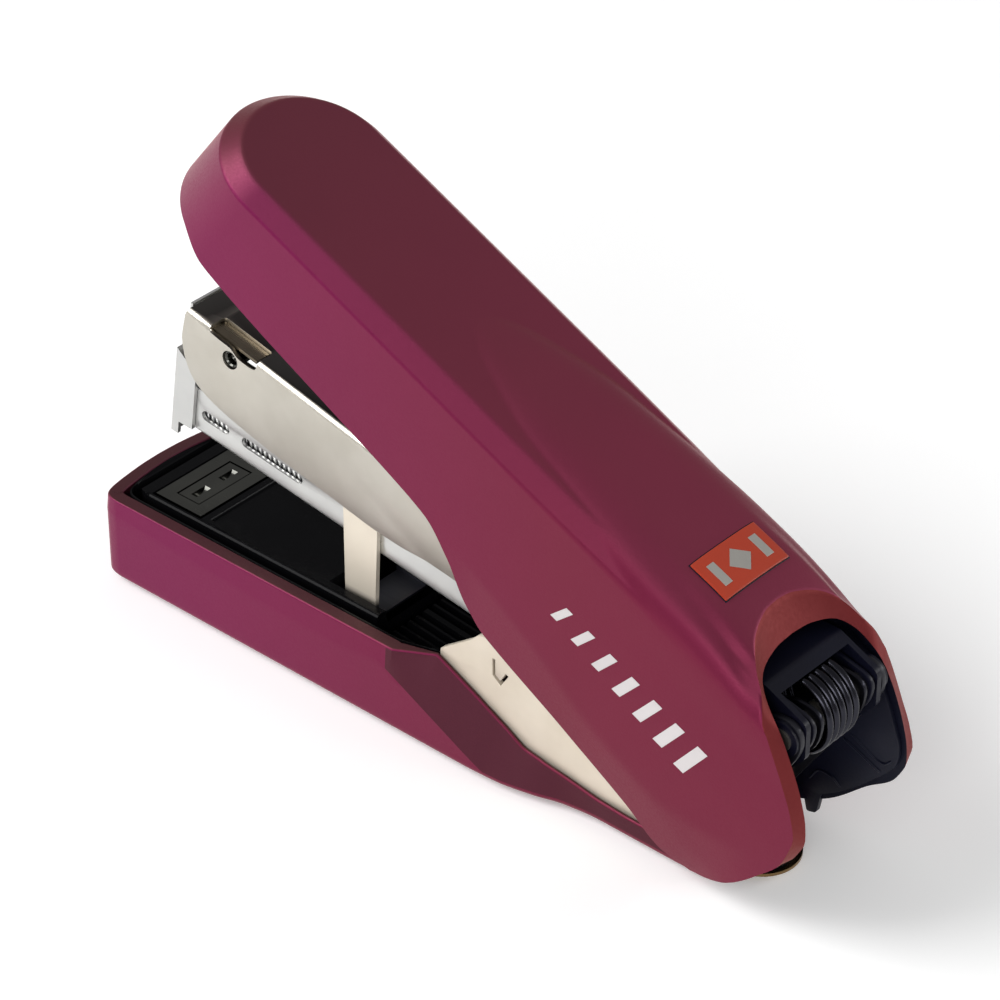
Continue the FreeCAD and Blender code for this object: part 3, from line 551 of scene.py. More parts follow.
# Painted shade: past 50 mm along X this steel darkens, near-black past 56 mm, where the magazine's rear sits inside the
# handle's tail.
BRIGHT = plated("bright_steel", *BRIGHT_TONES, 0.32, metallic=0.85, dark=("X", 0.050, 0.056))
CHROME = plated("dark_polished_steel", (0.10, 0.10, 0.09), (0.07, 0.07, 0.065), 0.2)
BRONZE = plated("dark_bronze_steel", (0.22, 0.185, 0.14), (0.15, 0.125, 0.09), 0.3)
SPRING = plated("black_oxide_wire", (0.035, 0.035, 0.044), (0.018, 0.018, 0.024), 0.22)
BRASS = plated("gold_tinted_steel", (0.30, 0.19, 0.09), (0.22, 0.14, 0.06), 0.28)
BLACK_GLOSS = moulded("polished_black_plastic", (0.003, 0.003, 0.0035), (0.0015, 0.0015, 0.002), 0.16, specular=0.05)
BLACK_MATTE = moulded("blue_black_moulding", (0.006, 0.007, 0.018), (0.003, 0.003, 0.009), 0.4, specular=0.22)
RUBBER = moulded("soft_rubber", (0.02, 0.02, 0.02), (0.012, 0.012, 0.012), 0.75)
ORANGE = moulded("orange_plate_print", (0.40, 0.036, 0.010), (0.36, 0.031, 0.009), 0.4, 0.05)
SILVER_INK = moulded("silver_ink", (0.50, 0.48, 0.44), (0.44, 0.42, 0.39), 0.35, metallic=0.6)
WHITE_INK = moulded("white_ink", (0.56, 0.53, 0.53), (0.51, 0.48, 0.48), 0.5)
STAPLE = staple_wires()

# ---------------- handle

NOSE_END = -128.3
HALF = 16.0
NOSE_CENTRE = NOSE_END + HALF
TAIL_HALF = 15.2
TAIL_START = -36.0
CREASE = 27.3
PLATEAU = 30.3
BEVEL = 3.1
WALL = 1.9
# The nose leans out towards its foot: the lean per height, and what it adds at the foot.
LEAN = 0.235
FOOT_REACH = 3.6
# Rows of the skin in the tail, side and nose, and columns on its wall, bevel and flat.
SKIN_ROWS = (46, 150, 64)
SKIN_COLUMNS = (44, 9, 46)

# Top of the spine and half its spread, by the distance along.
HUMP_FOOT = 26.0
HUMP_TOP = ((-74, 30.1), (-69, 30.75), (-61.7, 31.3), (-52, 31.95), (-44, 32.3), (-30, 32.65), (-16, 32.7))
HUMP_SPREAD = (
    (-74, 3.4), (-69.3, 7.3), (-61.7, 10.4), (-52, 12.9), (-44.5, 13.6), (-36, 14.4), (-20, 15.5), (4, 15.8),
)
# Faint crease that falls along the cheek, (along, up).
TUCK_LINE = ((-60, 4.5), (-45, 2.9), (-36, 1.4), (-28.7, -0.3), (-16, -3.3), (-2, -4.5), (7, -1.8), (14, 2))
# Lower edge of the flank, (along, up) from the nose to the cheek's lowest point.
LOWER_EDGE = (
    (-136, 12.2), (-121, 11.8), (-110, 8.8), (-97, 7.5), (-81, 6.6), (-66, 5.7), (-58.5, 4.8),
    (-51.5, 1.0), (-45, -5.2), (-40.5, -7.6), (-21, -9.9), (-5.5, -12.3), (3, -14.5), (9, -13.2),
)
# Outer edge of the rear rim, (along, across, up): up the cheek, then over the arch.
RIM_OUTSIDE = (
    (9, 15.0, -13.2), (11.9, 15.2, -11.0), (15.6, 15.5, -6.6), (18.8, 15.6, 0.2), (21.0, 15.6, 7.4),
    (20.6, 15.5, 12.2), (18.0, 15.4, 16.2), (14.3, 15.3, 19.8), (10.5, 15.3, 23.2), (7.6, 15.2, 25.6),
)
ARCH_OUTSIDE = (
    (7.6, 15.2, 25.6), (6.5, 15.1, 26.2), (4.5, 14.2, 28.0), (2.3, 12.8, 29.4), (0, 11.8, 30.4), (-2.2, 10.4, 31.4),
    (-4.5, 8.2, 32.1), (-6.2, 5.2, 32.5), (-7.1, 2.4, 32.65), (-7.3, 0, 32.7),
)
# Inner edge of the rear rim.
RIM_INSIDE = (
    (8.6, 12.9, -12.4), (11.4, 13.0, -10.4), (15.2, 13.1, -6.0), (18.6, 13.2, 1.4), (21.6, 13.2, 7.6),
    (21.8, 13.1, 10.8), (20.4, 13.1, 14.3), (17.2, 13.1, 18.4), (13.6, 13.1, 21.9), (10.0, 13.0, 24.8),
)
ARCH_INSIDE = (
    (10.0, 13.0, 24.8), (8.0, 12.8, 26.0), (5.6, 12.4, 27.0), (3.2, 11.7, 27.9), (1.2, 10.6, 28.5), (-0.3, 9.0, 29.0),
    (-1.4, 6.4, 29.3), (-2.1, 3.2, 29.5), (-2.3, 0, 29.5),
)


def half_width(along, inset):
    """Half width of the flank: 16 at the nose, drawing in slightly towards the tail."""
    return HALF - (HALF - TAIL_HALF) * ease(along, -60, 20) - inset


def hump_height(along, across):
    """Spine over the rear half: foot + rise x sqrt(1 - (across / spread)^4), growing from a pointed tip."""
    top = flow(along, HUMP_TOP) - 0.009 * np.clip(along + 16, 0, 60) ** 2
    part = np.clip(1 - (np.abs(across) / flow(along, HUMP_SPREAD)) ** 4, 0, 1)
    return HUMP_FOOT + (top - HUMP_FOOT) * ease(along, -80, -73) * np.sqrt(part)


def crown_height(along, across, inward):
    """Top of the handle: a 45 degree bevel up to the plateau, with the hump laid over it."""
    bevel = CREASE + inward
    flat = -soft_max(-bevel, np.full_like(bevel, -PLATEAU), 0.35)
    return soft_max(flat, hump_height(along, across), 0.3)


def handle_skin(inset, rim, arch):
    """Half of the handle's skin, across <= 0, as a grid of columns that run from the lower edge over the top.

    A column is a wall, a bevel and a flat carried along the side and round the nose. In the tail the
    columns fan out from a straight one to the rear rim, blending linearly between the two.
    """
    tail, side, nose = SKIN_ROWS
    wall, bevel, flat = SKIN_COLUMNS
    v_wall = np.linspace(0, 1, wall)[None, :]
    crease, radius = CREASE - inset, HALF - inset
    on_bevel = np.linspace(0, BEVEL, bevel + 1)[1:]
    on_flat = BEVEL + (radius - BEVEL) * np.linspace(0, 1, flat + 1)[1:]
    inner = np.concatenate([on_bevel, on_flat])[None, :]
    share = inner / radius

    def low(along):
        return flow(along, LOWER_EDGE)

    def centre(up):
        return NOSE_CENTRE - LEAN * np.clip(crease - up, 0, 60)

    def straight(q):
        along = TAIL_START + (NOSE_CENTRE - TAIL_START) * q
        foot = low(along)
        up = foot + (crease - foot) * v_wall
        along_wall = TAIL_START + (centre(up) - TAIL_START) * q
        wall_points = np.stack([along_wall, -half_width(along_wall, inset), up], -1)
        along_top = along + 0 * inner
        half = half_width(along_top, inset)
        across = half * (1 - share)
        top = np.stack([along_top, -across, crown_height(along_top, across, half - across) - inset], -1)
        return np.concatenate([wall_points, top], axis=1)

    def round_nose(q):
        angle = q * math.pi / 2
        foot = low(NOSE_CENTRE - (HALF + FOOT_REACH) * np.sin(angle))
        up = foot + (crease - foot) * v_wall
        wall_points = np.stack([centre(up) - radius * np.sin(angle), -radius * np.cos(angle) + 0 * up, up], -1)
        ring = radius - inner
        along = NOSE_CENTRE - ring * np.sin(angle)
        across = ring * np.cos(angle)
        top = np.stack([along, -across, crown_height(along, across, inner + 0 * angle) - inset], -1)
        return np.concatenate([wall_points, top], axis=1)

    def fan(q):
        base = straight(np.zeros((1, 1)))[0]
        edge_wall, edge_top = trail(v_wall[0], rim), trail(share[0], arch)
        along_wall = edge_wall[:, 0] * (1 - q) + TAIL_START * q
        up_wall = edge_wall[:, 2] * (1 - q) + base[:wall, 2] * q
        sag = low(along_wall[:, :1]) - up_wall[:, :1]
        up_wall = up_wall + sag * (1 - v_wall) ** 2
        across_wall = edge_wall[:, 1] * (1 - q) - base[:wall, 1] * q
        along_top = edge_top[:, 0] * (1 - q) + TAIL_START * q
        across_top = edge_top[:, 1] * (1 - q) - base[wall:, 1] * q
        crown = crown_height(along_top, across_top, half_width(along_top, inset) - across_top)
        if inset:
            up_top = (crown - inset) * q + edge_top[:, 2] * (1 - q)
        else:
            up_top = crown + (edge_top[:, 2] - crown[0]) * (1 - q) ** 2
        wall_points = np.stack([along_wall, -across_wall, up_wall], -1)
        return np.concatenate([wall_points, np.stack([along_top, -across_top, up_top], -1)], axis=1)

    q_tail = np.linspace(0, 1, tail)[:, None]
    q_side, q_nose = (np.linspace(0, 1, count + 1)[1:, None] for count in (side, nose))
    return np.concatenate([fan(q_tail), straight(q_side), round_nose(q_nose)], axis=0)


def tuck(points):
    """Below its crease the cheek draws in by 0.11 of the depth."""
    along, across, up = points[..., 0], points[..., 1], points[..., 2]
    line = flow(along, TUCK_LINE)
    depth = soft_max(line - up, np.zeros_like(up), 0.6) * ease(along, -56, -44) * (1 - ease(along, 8, 20))
    return np.stack([along, across + 0.11 * np.clip(depth, 0, 12), up], -1)


def bridge(first, second, steps=3):
    """A ruled strip between two edges of equal length."""
    q = np.linspace(0, 1, steps)[:, None, None]
    return first[None] * (1 - q) + second[None] * q


def make_handle_shell():
    """The long press handle: outer skin, inner skin, and the rims that join them."""
    outer = tuck(handle_skin(0.0, RIM_OUTSIDE, ARCH_OUTSIDE))
    inner = tuck(handle_skin(WALL, RIM_INSIDE, ARCH_INSIDE))
    rear = bridge(outer[0], inner[0], 7)
    lower = bridge(outer[:, 0], inner[:, 0], 4)
    grids = []
    for half, *other in ((outer,), (inner, 2), (lower,), (rear, 1)):
        for side in (half, mirrored(half)):
            grids.append((on_handle(side), False, *other))
    others = (WINE_EDGE, BLACK_MATTE)
    return piece("handle_skin", grids, "handle", WINE, 62.0, ("handle_shell",), others)


def laid(name, corners, place, onto, outward, thick, material, replaces=()):
    """A thin four-cornered shape laid on the skin: a grid blended between its corners, then thickened."""
    rows, cols = 25, 41
    u, v = np.linspace(0, 1, rows)[:, None, None], np.linspace(0, 1, cols)[None, :, None]
    a, b, c, d = (np.array(corner, float) for corner in corners)
    flat = (1 - u) * ((1 - v) * a + v * d) + u * ((1 - v) * b + v * c)
    points, faces = place(flat.reshape(-1, 2)), grid_faces(rows, cols)
    sheet(name, points, faces, thick, outward, "handle", material, replaces, thick / 4, onto)


def rectangle(start, end, low, high):
    """Corners of a rectangle from its ends along and across."""
    return (start, low), (end, low), (end, high), (start, high)


def make_badge(skin):
    """Printed plate that follows the spine: dark reveal, orange field and a plain diamond between two bars."""
    start, end, half, above, shift = -20.0, -12.0, 7.8, 36.0, (-1.2, 0)

    def place(flat):
        return on_handle(lying(flat + shift, above))

    def field(grow):
        return rectangle(start - grow, end + grow, -half - grow, half + grow)

    for name, corners, rise, thick, material, *node in (
        ("badge_reveal", field(0.22), 0.06, 0.25, BLACK_MATTE),
        ("badge_plate", field(0), 0.32, 0.5, ORANGE, "badge"),
        ("badge_diamond", [(-18.4, 0), (-16, -2.6), (-13.6, 0), (-16, 2.6)], 0.37, 0.08, SILVER_INK),
        ("badge_bar_near", rectangle(-18.2, -13.8, -6.0, -4.3), 0.37, 0.08, SILVER_INK),
        ("badge_bar_far", rectangle(-18.2, -13.8, 4.3, 6.0), 0.37, 0.08, SILVER_INK),
    ):
        onto = (skin, "Z", rise)
        laid(name, corners, place, onto, lambda spot: (0, 0, 1), thick, material, node)


def make_flank_marks(skin):
    """A row of slanted pale bars on both flanks, printed on the surface and growing towards the tail."""
    count, outside, slant = 7, 18.0, 0.9
    onto = (skin, "Y", 0.05)
    for side, word in ((-1, "near"), (1, "far")):

        def place(flat, side=side):
            return on_handle(upright(flat, side * outside))

        def outward(spot, side=side):
            return 0, side, 0

        for number in range(count):
            along, up = -31.0 + 5.1 * number, 11.8 - 0.45 * number
            tall, wide = 2.0 + 0.27 * number, 0.75 + 0.06 * number
            corners = [(along - wide - slant, up - tall), (along + wide - slant, up - tall)]
            corners += [(along + wide + slant, up + tall), (along - wide + slant, up + tall)]
            name = f"flank_bar_{word}_{number + 1}"
            laid(name, corners, place, onto, outward, 0.1, WHITE_INK)


# Outline of a cheek's lining, its corner radii, and the corners of the hook, which the far cheek alone has.
LINER_EDGE = (
    (-44, 17.5), (-44, 24.3), (-12, 24.4), (2, 25.0), (6.8, 24.8), (10.0, 22.8), (13.5, 20.1), (16.7, 17.0),
    (19.0, 14.7), (20.3, 12.4), (20.7, 10.2), (20.0, 7.4), (17.5, 0.4), (15.5, -4), (13.4, -7.4), (14.5, -11.6),
    (13.0, -12.9), (10.0, -9.2), (4, -11.2), (-8, -9.8), (-30, -5.5),
)
LINER_ROUND = (0, 0.5, 1, 2, 2, 1, 1, 1, 1, 1, 1, 1, 1, 1, 0.5, 0.5, 0.5, 0.5, 3, 3, 0)
HOOK = slice(14, 17)
# Beads on the cheeks' inner faces: level across, half width and path (along, up).
LOBE = (
    (3.5, 15.5), (3.2, 18.5), (3.1, 21.6), (4.6, 23.9), (6.6, 24.2), (8.4, 22.6), (9.3, 19.9), (9.5, 16.3), (8.9, 12.6),
)
BEADS = (
    ("lobe", 12.3, 0.32, LOBE),
    ("ledge", 12.12, 0.3, ((11.0, 6.7), (14.6, 6.9), (19.4, 7.0))),
    ("slot", 12.12, 0.22, ((11.5, 8.7), (14.2, 8.6), (17.2, 8.6), (19.0, 9.2), (19.7, 11.0))),
    ("triangle", 12.12, 0.25, ((10.2, -6.6), (10.6, -3.6), (13.4, -2.2), (15.4, -2.6))),
)
CHEEK_LEVEL = 13.1
PIVOT_HOLE = 2.25


def ridge(name, spots, level, width):
    """A half-round bead that follows a path on the cheek's inner face and runs out at both ends."""
    q = np.linspace(0, 1, 60)
    path = trail(q, spots)
    way = heading(path)
    turn = np.linspace(0, math.pi, 8)
    size = width * np.sqrt(np.clip(1 - (2 * q - 1) ** 12, 0, 1))[:, None]
    along = path[:, :1] - way[:, 1:] * np.cos(turn) * size
    up = path[:, 1:] + way[:, :1] * np.cos(turn) * size
    across = level - math.copysign(1, level) * np.sin(turn) * size
    grid = np.stack([along, across, up], -1)
    piece(name, [(on_handle(grid), True)], "handle", BLACK_MATTE, 60.0)


def make_liner():
    """Black lining of the cheeks: two shaped plates with raised beads, and the roof that joins them."""
    for side, word in ((-1, "near"), (1, "far")):
        spots, radius = list(LINER_EDGE), list(LINER_ROUND)
        if side < 0:
            del spots[HOOK], radius[HOOK]
        loop, level = rounded(spots, radius), side * CHEEK_LEVEL
        held = ("handle_liner",) if side < 0 else ()
        cheek(f"liner_cheek_{word}", loop, PIVOT_HOLE, level, on_handle, 1.0, "handle", held)
        for bead, height, width, path in BEADS:
            ridge(f"liner_{bead}_{word}", path, side * height, width)
    blank, faces = cut_blank(rectangle(-44, -12, -12.15, 12.15), [], [])
    points = on_handle(lying(blank, 24.5))
    sheet("liner_roof", points, faces, 1.2, lambda spot: (0, 0, 1), "handle", BLACK_MATTE)


handle_skin_piece = make_handle_shell()
make_flank_marks(handle_skin_piece)
make_badge(handle_skin_piece)
make_liner()

# ---------------- base tub

TUB_LINE = (
    (-78.75, 0), (-78.6, 4), (-78.2, 8), (-77.7, 11.5), (-77.2, 13.6), (-76.4, 15.0), (-75.0, 15.75), (-73, 16),
    (-60, 16), (-10, 16), (8, 16), (15, 15.7), (22, 14.4), (28, 12.7), (35, 12), (50, 12), (55.5, 11.8),
    (57.6, 10.2), (58, 7), (58, 0),
)


def tub_line(count):
    """Half outline of the tub from the nose to the tail, with its outward direction; close steps in the corner."""
    q = np.interp(np.linspace(0, 1, count), (0, 0.12, 0.45, 0.85, 1), (0, 0.07, 0.135, 0.84, 1))
    line = trail(q, TUB_LINE)
    way = heading(line)
    normal = np.column_stack((-way[:, 1], way[:, 0]))
    normal[0], normal[-1] = (-1, 0), (1, 0)
    return line, normal


# Tub levels: underside, start of the upright wall and inner floor; then the radii of its foot and rim.
UNDERSIDE, WALL_START, TUB_FLOOR = 0.8, 2.1, 2.98
FOOT_ROUND, RIM_ROUND = 1.3, 0.3
# Rings round the foot, up the side, up the leaning band and over the rim.
FOOT_RINGS, SIDE_RINGS, BAND_RINGS, RIM_RINGS = 8, 10, 12, 6


def make_tub():
    """Tub wall: round foot, side up to a crease, band that leans in to the rim, inner wall and floor.

    Behind the facet line the wall above the crease slants in to the falling rim.
    """
    line, normal = tub_line(430)
    x = line[:, 0]
    rim = np.interp(x, (-79, -0.9, 19, 34, 40, 60), (17.5, 17.5, 7.7, 5.3, 4.9, 4.9))
    facet = 13.9 - (x + 10.5) * 12.7 / 25
    crease = np.where(x > -10.5, np.clip(facet, 2.15, 13.9), flow(x, ((-79, 14.6), (-20, 12.9), (-10.5, 13.9))))
    lean = np.interp(x, (-79, -7.6, -0.9), (0.25, 0.3, 4.15))
    lean = np.where(x > -0.9, np.clip(line[:, 1] - 11.85, 0.15, 4.15), lean)
    wall = np.interp(x, (-79, -8, -0.9, 60), (2.6, 2.6, 0.7, 0.7))
    rings = []

    def ring(inset, level):
        spot = line - normal * (np.zeros(len(x)) + inset)[:, None]
        spot[:, 1] = np.clip(spot[:, 1], 0, None)
        spot[0, 1] = spot[-1, 1] = 0
        rings.append(np.column_stack((spot[:, 0], -spot[:, 1], np.zeros(len(x)) + level)))

    def floor(level):
        rings.append(np.column_stack((x, np.zeros(len(x)), np.full(len(x), level))))

    floor(UNDERSIDE)
    ring(3.0, UNDERSIDE)
    for turn in np.linspace(0, math.pi / 2, FOOT_RINGS):
        ring(FOOT_ROUND * (1 - np.sin(turn)), UNDERSIDE + FOOT_ROUND * (1 - np.cos(turn)))
    for q in np.linspace(0.1, 1, SIDE_RINGS):
        ring(0.0, WALL_START + (crease - WALL_START) * q)
    for q in np.linspace(0.02, 1, BAND_RINGS):
        ring(lean * q, crease + (rim - RIM_ROUND - crease) * q)
    for turn in np.linspace(0.2, math.pi / 2, RIM_RINGS):
        ring(lean + RIM_ROUND * (1 - np.cos(turn)), rim - RIM_ROUND + RIM_ROUND * np.sin(turn))
    for inset, level in ((wall - 0.1, rim), (wall, rim - 0.2), (wall, rim - 1.0), (wall, 3.0), (wall + 2.0, TUB_FLOOR)):
        ring(lean + inset, level)
    floor(TUB_FLOOR)
    grid = np.stack(rings, axis=1)
    side_end = 1 + FOOT_RINGS + SIDE_RINGS
    band_end = side_end + BAND_RINGS
    rim_end = band_end + RIM_RINGS
    cut = int(np.argmax(x > -9.2))
    band = grid[:, side_end:band_end + 1]
    # Finish 1, the darker wine, on the band behind the facet line and on the inner wall and floor: painted shade.
    parts = [(grid[:, :side_end + 1], 0), (band[:cut + 1], 0), (band[cut:], 1)]
    parts += [(grid[:, band_end:rim_end + 1], 0), (grid[:, rim_end:], 1)]
    grids = [(half, False, index) for half, index in parts]
    grids += [(mirrored(half), False, index) for half, index in parts]
    piece("tub_shell", grids, "base", WINE, 17.0, ("base_shell",), (WINE_SHADE,))


def step(x, start, end, soft=0.3):
    """1 between start and end with soft sides."""
    return ease(x, start - soft, start + soft) * (1 - ease(x, end - soft, end + soft))


def table_level(x, y, edge):
    """Height of the glossy insert: lip, deep gutter, raised plate with pockets, and a ribbed well behind."""
    side = np.abs(y)
    level = 16.7 + 0.25 * (1 - ease(edge, 0.2, 1.1))
    gutter = ease(edge, 0.5, 0.8) * (1 - ease(edge, 2.6, 2.75)) * ease(x, -74.5, -73.5)
    level = level - 5.2 * gutter * (1 - ease(x, -4.5, -3.0))
    round_over = np.clip((3.7 - edge) / 0.95, 0, 1) * (edge > 2.7)
    level = level + 0.5 - 0.9 * (1 - np.sqrt(np.clip(1 - round_over ** 2, 0, 1))) * ease(x, -71.5, -70.6)
    level = level - 1.6 * step(x, -70.35, -58.65, 0.12) * (1 - ease(side, 9.25, 9.5))
    level = level - 3.2 * step(x, -67.35, -61.65, 0.1) * (1 - ease(side, 6.65, 6.85))
    level = level - 0.5 * step(x, -57.0, -55.8, 0.15) * (1 - ease(side, 8.2, 8.6))
    well = (1 - ease(side, 10.2, 10.5)) * ease(x, -15.9, -15.5)
    ribs = np.abs(((side + 0.65) / 1.9) % 1 - 0.5) < 0.16
    floor = 11.6 - 0.10 * (x + 15) + 2.3 * ribs * step(x, -14.5, -2.6, 0.3)
    level = level * (1 - well) + floor * well
    shaft = step(x, -28.75, -15.85, 0.12) * (1 - ease(side, 7.75, 8.0))
    return level * (1 - shaft) + 3.2 * shaft


def make_table():
    """The black insert as a height over a grid that follows the tub's outline, closed underneath."""
    runs = (
        np.linspace(-75.7, -70.6, 46), np.linspace(-70.5, -58.5, 110)[1:],
        np.linspace(-58.5, -29.6, 130)[1:], np.linspace(-29.5, -1.6, 190),
    )
    x = np.concatenate(runs)[:, None]
    v = np.linspace(-1, 1, 331)[None, :]
    line, _ = tub_line(720)
    ahead = line[line[:, 0] < 10]
    half = np.interp(x + 0 * v, ahead[:, 0] + 2.9, ahead[:, 1]) - 2.95
    half = np.clip(half, 0.05, np.interp(x, (-8.5, -0.9), (13.1, 10.95)))
    y = half * v
    x = x + 0 * y
    top = table_level(x, y, np.minimum(half - np.abs(y), x + 75.75))
    upper = np.stack([x, y, top], -1)
    lower = np.stack([x, y, np.maximum(np.minimum(top - 1.0, 9.6), 3.05)], -1)
    sides = [bridge(upper[0], lower[0], 2), bridge(upper[-1], lower[-1], 2)]
    sides += [bridge(upper[:, 0], lower[:, 0], 2), bridge(upper[:, -1], lower[:, -1], 2)]
    grids = [(upper, False), (lower, False)] + [(side, False) for side in sides]
    piece("glossy_insert", grids, "base", BLACK_GLOSS, 40.0, ("clincher_table",))


def make_base_frame():
    """Steel base channel: wings with a hooked relief, low waist and rear ears round the shaft."""
    low = 3.0
    edge = [(4.2, 0), (4.2, 1), (-0.85, 14.0), (-0.85, 15.4), (5.9, 20.4), (7.6, 22.1), (15.15, 23.6), (25.15, 20.1)]
    edge += [(36.75, 10), (56.75, 10), (66.1, 29.5), (66.9, 35.4), (68.6, 36.9), (72.2, 36.9), (73.9, 35.2)]
    edge += [(73.9, 31.5), (56.5, 4), (56.5, 0)]
    radius = [0, 0, 0.3, 0.3, 0.4, 0.4, 3, 4, 3, 4, 2, 1.5, 1.5, 1.5, 1.5, 3, 0, 0]
    hook = [(10.7, 19.0), (10.7, 15.6), (12.5, 14.2), (14.2, 16.9), (13.6, 17.2), (12.4, 15.2), (11.3, 15.9)]
    holes = [[*hook, (11.3, 19.0)], disc(REAR_SHAFT[0], REAR_SHAFT[2] - low, SHAFT_HOLE)]
    channel(
        "base_channel", rounded(edge, radius, 4), holes, half=10.9, level=low, radius=1.4, way=1, thick=1.0,
        place=lambda points: points, body="base", material=CREAM, replaces=("base_frame",),
    )


make_tub()
make_table()
make_base_frame()

# ---------------- driver frame and magazine


DRIVER_HALF = 7.8
DRIVER_ROOF = -9.2
DRIVER_WALL = 0.8
PIN_ALONG = -122.0
PIN_DROP = 3.75


def make_driver_frame():
    """Nickel channel over the magazine: round nose corners, pin hole, and a window cut across each fold."""
    low = (
        (-133.2, 1.6), (-133.2, 5.8), (-132.2, 9.2), (-129.0, 13.4), (-124.2, 15.1), (-118.2, 15.7), (-110.9, 15.9),
        (-97.7, 15.6), (-87.5, 15.4), (-80, 14.7), (-73.2, 13.4), (-64, 12.8), (-56, 12.8), (-44, 12.8),
    )
    tail = rounded([(-40, 12.8), (-13, 6.5), (-12, 3.4), (-13.5, 2.0), (-18, 1.7)], [6, 3, 1, 1, 0])
    edge = np.concatenate(([(-132.8, 0.0)], trail(np.linspace(0, 1, 60), low), tail, [(-18.0, 0.0)]))
    window = [(-127.6, -2.6), (-116.2, -2.6), (-116.2, 1.9), (-117.6, 2.3), (-120.6, 2.3), (-122.2, 1.3)]
    window = rounded([*window, (-125.6, 1.3), (-127.6, 1.1)], 0.8, 4)
    channel(
        "driver_channel", edge, [disc(PIN_ALONG, PIN_DROP, 1.75), window], half=DRIVER_HALF, level=DRIVER_ROOF,
        radius=1.3, way=-1, thick=DRIVER_WALL, place=on_driver, body="driver", material=DRIVER_STEEL,
        replaces=("driver_frame",),
    )


def make_driver_arms():
    """The two arms that carry the driver frame on the rear shaft."""
    corners = [(-22, -10.9), (-13, -9.2), (-7.4, 3.4), (3.4, 3.4), (3.4, -3.4), (-12, -12.4), (-22, -17)]
    loop = rounded(corners, [0, 3, 3, 3, 3, 4, 0], 6)
    for side, word in ((-1, "near"), (1, "far")):
        level = side * DRIVER_HALF
        cheek(f"driver_arm_{word}", loop, SHAFT_HOLE, level, on_driver, DRIVER_WALL, "driver")


def make_nose_pin():
    """Hollow rivet through the nose hole: a tube with rolled ends and a dark cup, turned about its axis."""
    cup = [(0, 5.9), (0.7, 5.95), (0.95, 6.3), (1.0, 7.25), (1.2, 7.5), (1.42, 7.45), (1.5, 7.2), (1.5, 6.6)]
    profile = np.array(cup + [(r, -y) for r, y in cup[::-1]]) * (1.1, 1)
    turn = np.linspace(0, 2 * math.pi, 41)[:-1]
    along = PIN_ALONG + profile[:, :1] * np.cos(turn)
    up = DRIVER_ROOF - PIN_DROP + profile[:, :1] * np.sin(turn)
    across = profile[:, 1:] + 0 * turn
    grid = on_driver(np.stack([along, across, up], -1))
    # The dark polished steel here is partly painted shade: besides the recessed cup, its dark tone makes the rivet read
    # as a dark hole.
    piece("nose_rivet", [(grid, True)], "driver", CHROME, 30.0, ("nose_pin",))


def draw_wire(name, path, outward, across, wire, sides, sharp, body, node):
    """Round wire along a path: path + wire x (cos t outward + sin t across), drawn to a point at both ends."""
    turn = np.linspace(0, 2 * math.pi, sides + 1)[:-1][None, :, None]
    size = np.full(len(path), wire)
    size[[0, -1]] = 0.001
    tube = path[:, None] + size[:, None, None] * (np.cos(turn) * outward[:, None] + np.sin(turn) * across[:, None])
    return piece(name, [(tube, True)], body, SPRING, sharp, (node,))


def make_torsion_coil():
    """Round wire wound about the rear shaft, with a leg forward at each end, as one tube along its path."""
    centre, radius, wire, turns, half = np.array([67.4, 35.1]), 6.2, 0.75, 4.5, 3.7
    q = np.linspace(0, 1, 240)
    angle = math.pi / 2 - q * turns * 2 * math.pi
    round_along, round_up = radius * np.cos(angle), radius * np.sin(angle)
    coil = np.column_stack((centre[0] + round_along, half - 2 * half * q, centre[1] + round_up))
    reach = np.linspace(1, 0, 16)[:-1, None]
    first = coil[0] + reach * np.array([-19.5, 0.0, 0.6])
    last = coil[-1] + reach[::-1] * np.array([-13.5, 0.0, -1.0])
    path = np.concatenate((first, coil, last))
    way = heading(path)
    outward = np.cross(way, np.array([0, 1.0, 0]))
    outward /= np.linalg.norm(outward, axis=1)[:, None]
    across = np.cross(outward, way)
    draw_wire("torsion_coil", path, outward, across, wire, 16, 50.0, "lever_frame", "torsion_spring")


def wind_spring(name, start, end, radius, wire, turns, body, node):
    """Round wire wound about the line from start to end, closer at both ends.

    A point is the line's point at q, plus the radius turned by q times the turns.
    """
    start, end = np.array(start, float), np.array(end, float)
    length = np.linalg.norm(end - start)
    way = (end - start) / length
    side = np.array([0, 1.0, 0])
    up = np.cross(way, side)
    q = np.linspace(0, 1, int(turns * 18))
    rise = np.interp(q, (0, 1 / turns, 1 - 1 / turns, 1), (0, 0.35 / turns, 1 - 0.35 / turns, 1))
    rise = rise * (1 - 2 * wire / length) + wire / length
    angle = (q * turns * 2 * math.pi)[:, None]
    outward = np.cos(angle) * side + np.sin(angle) * up
    path = start + rise[:, None] * (end - start) + radius * outward
    wound = draw_wire(name, path, outward, np.cross(heading(path), outward), wire, 8, 60.0, body, node)
    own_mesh(wound)


def make_springs():
    """Lift spring under the magazine and the long spring behind the pusher."""
    wind_spring("lift_coil", (24.0, 0, 4.02), (24.0, 0, 19.0), 3.2, 0.4, 6, "base", "lift_spring")
    rear, front = (47.9, 0, 20.25), (-2.85, 0, 27.55)
    wind_spring("pusher_coil", rear, front, 1.8, 0.28, 22, "magazine", "pusher_spring")


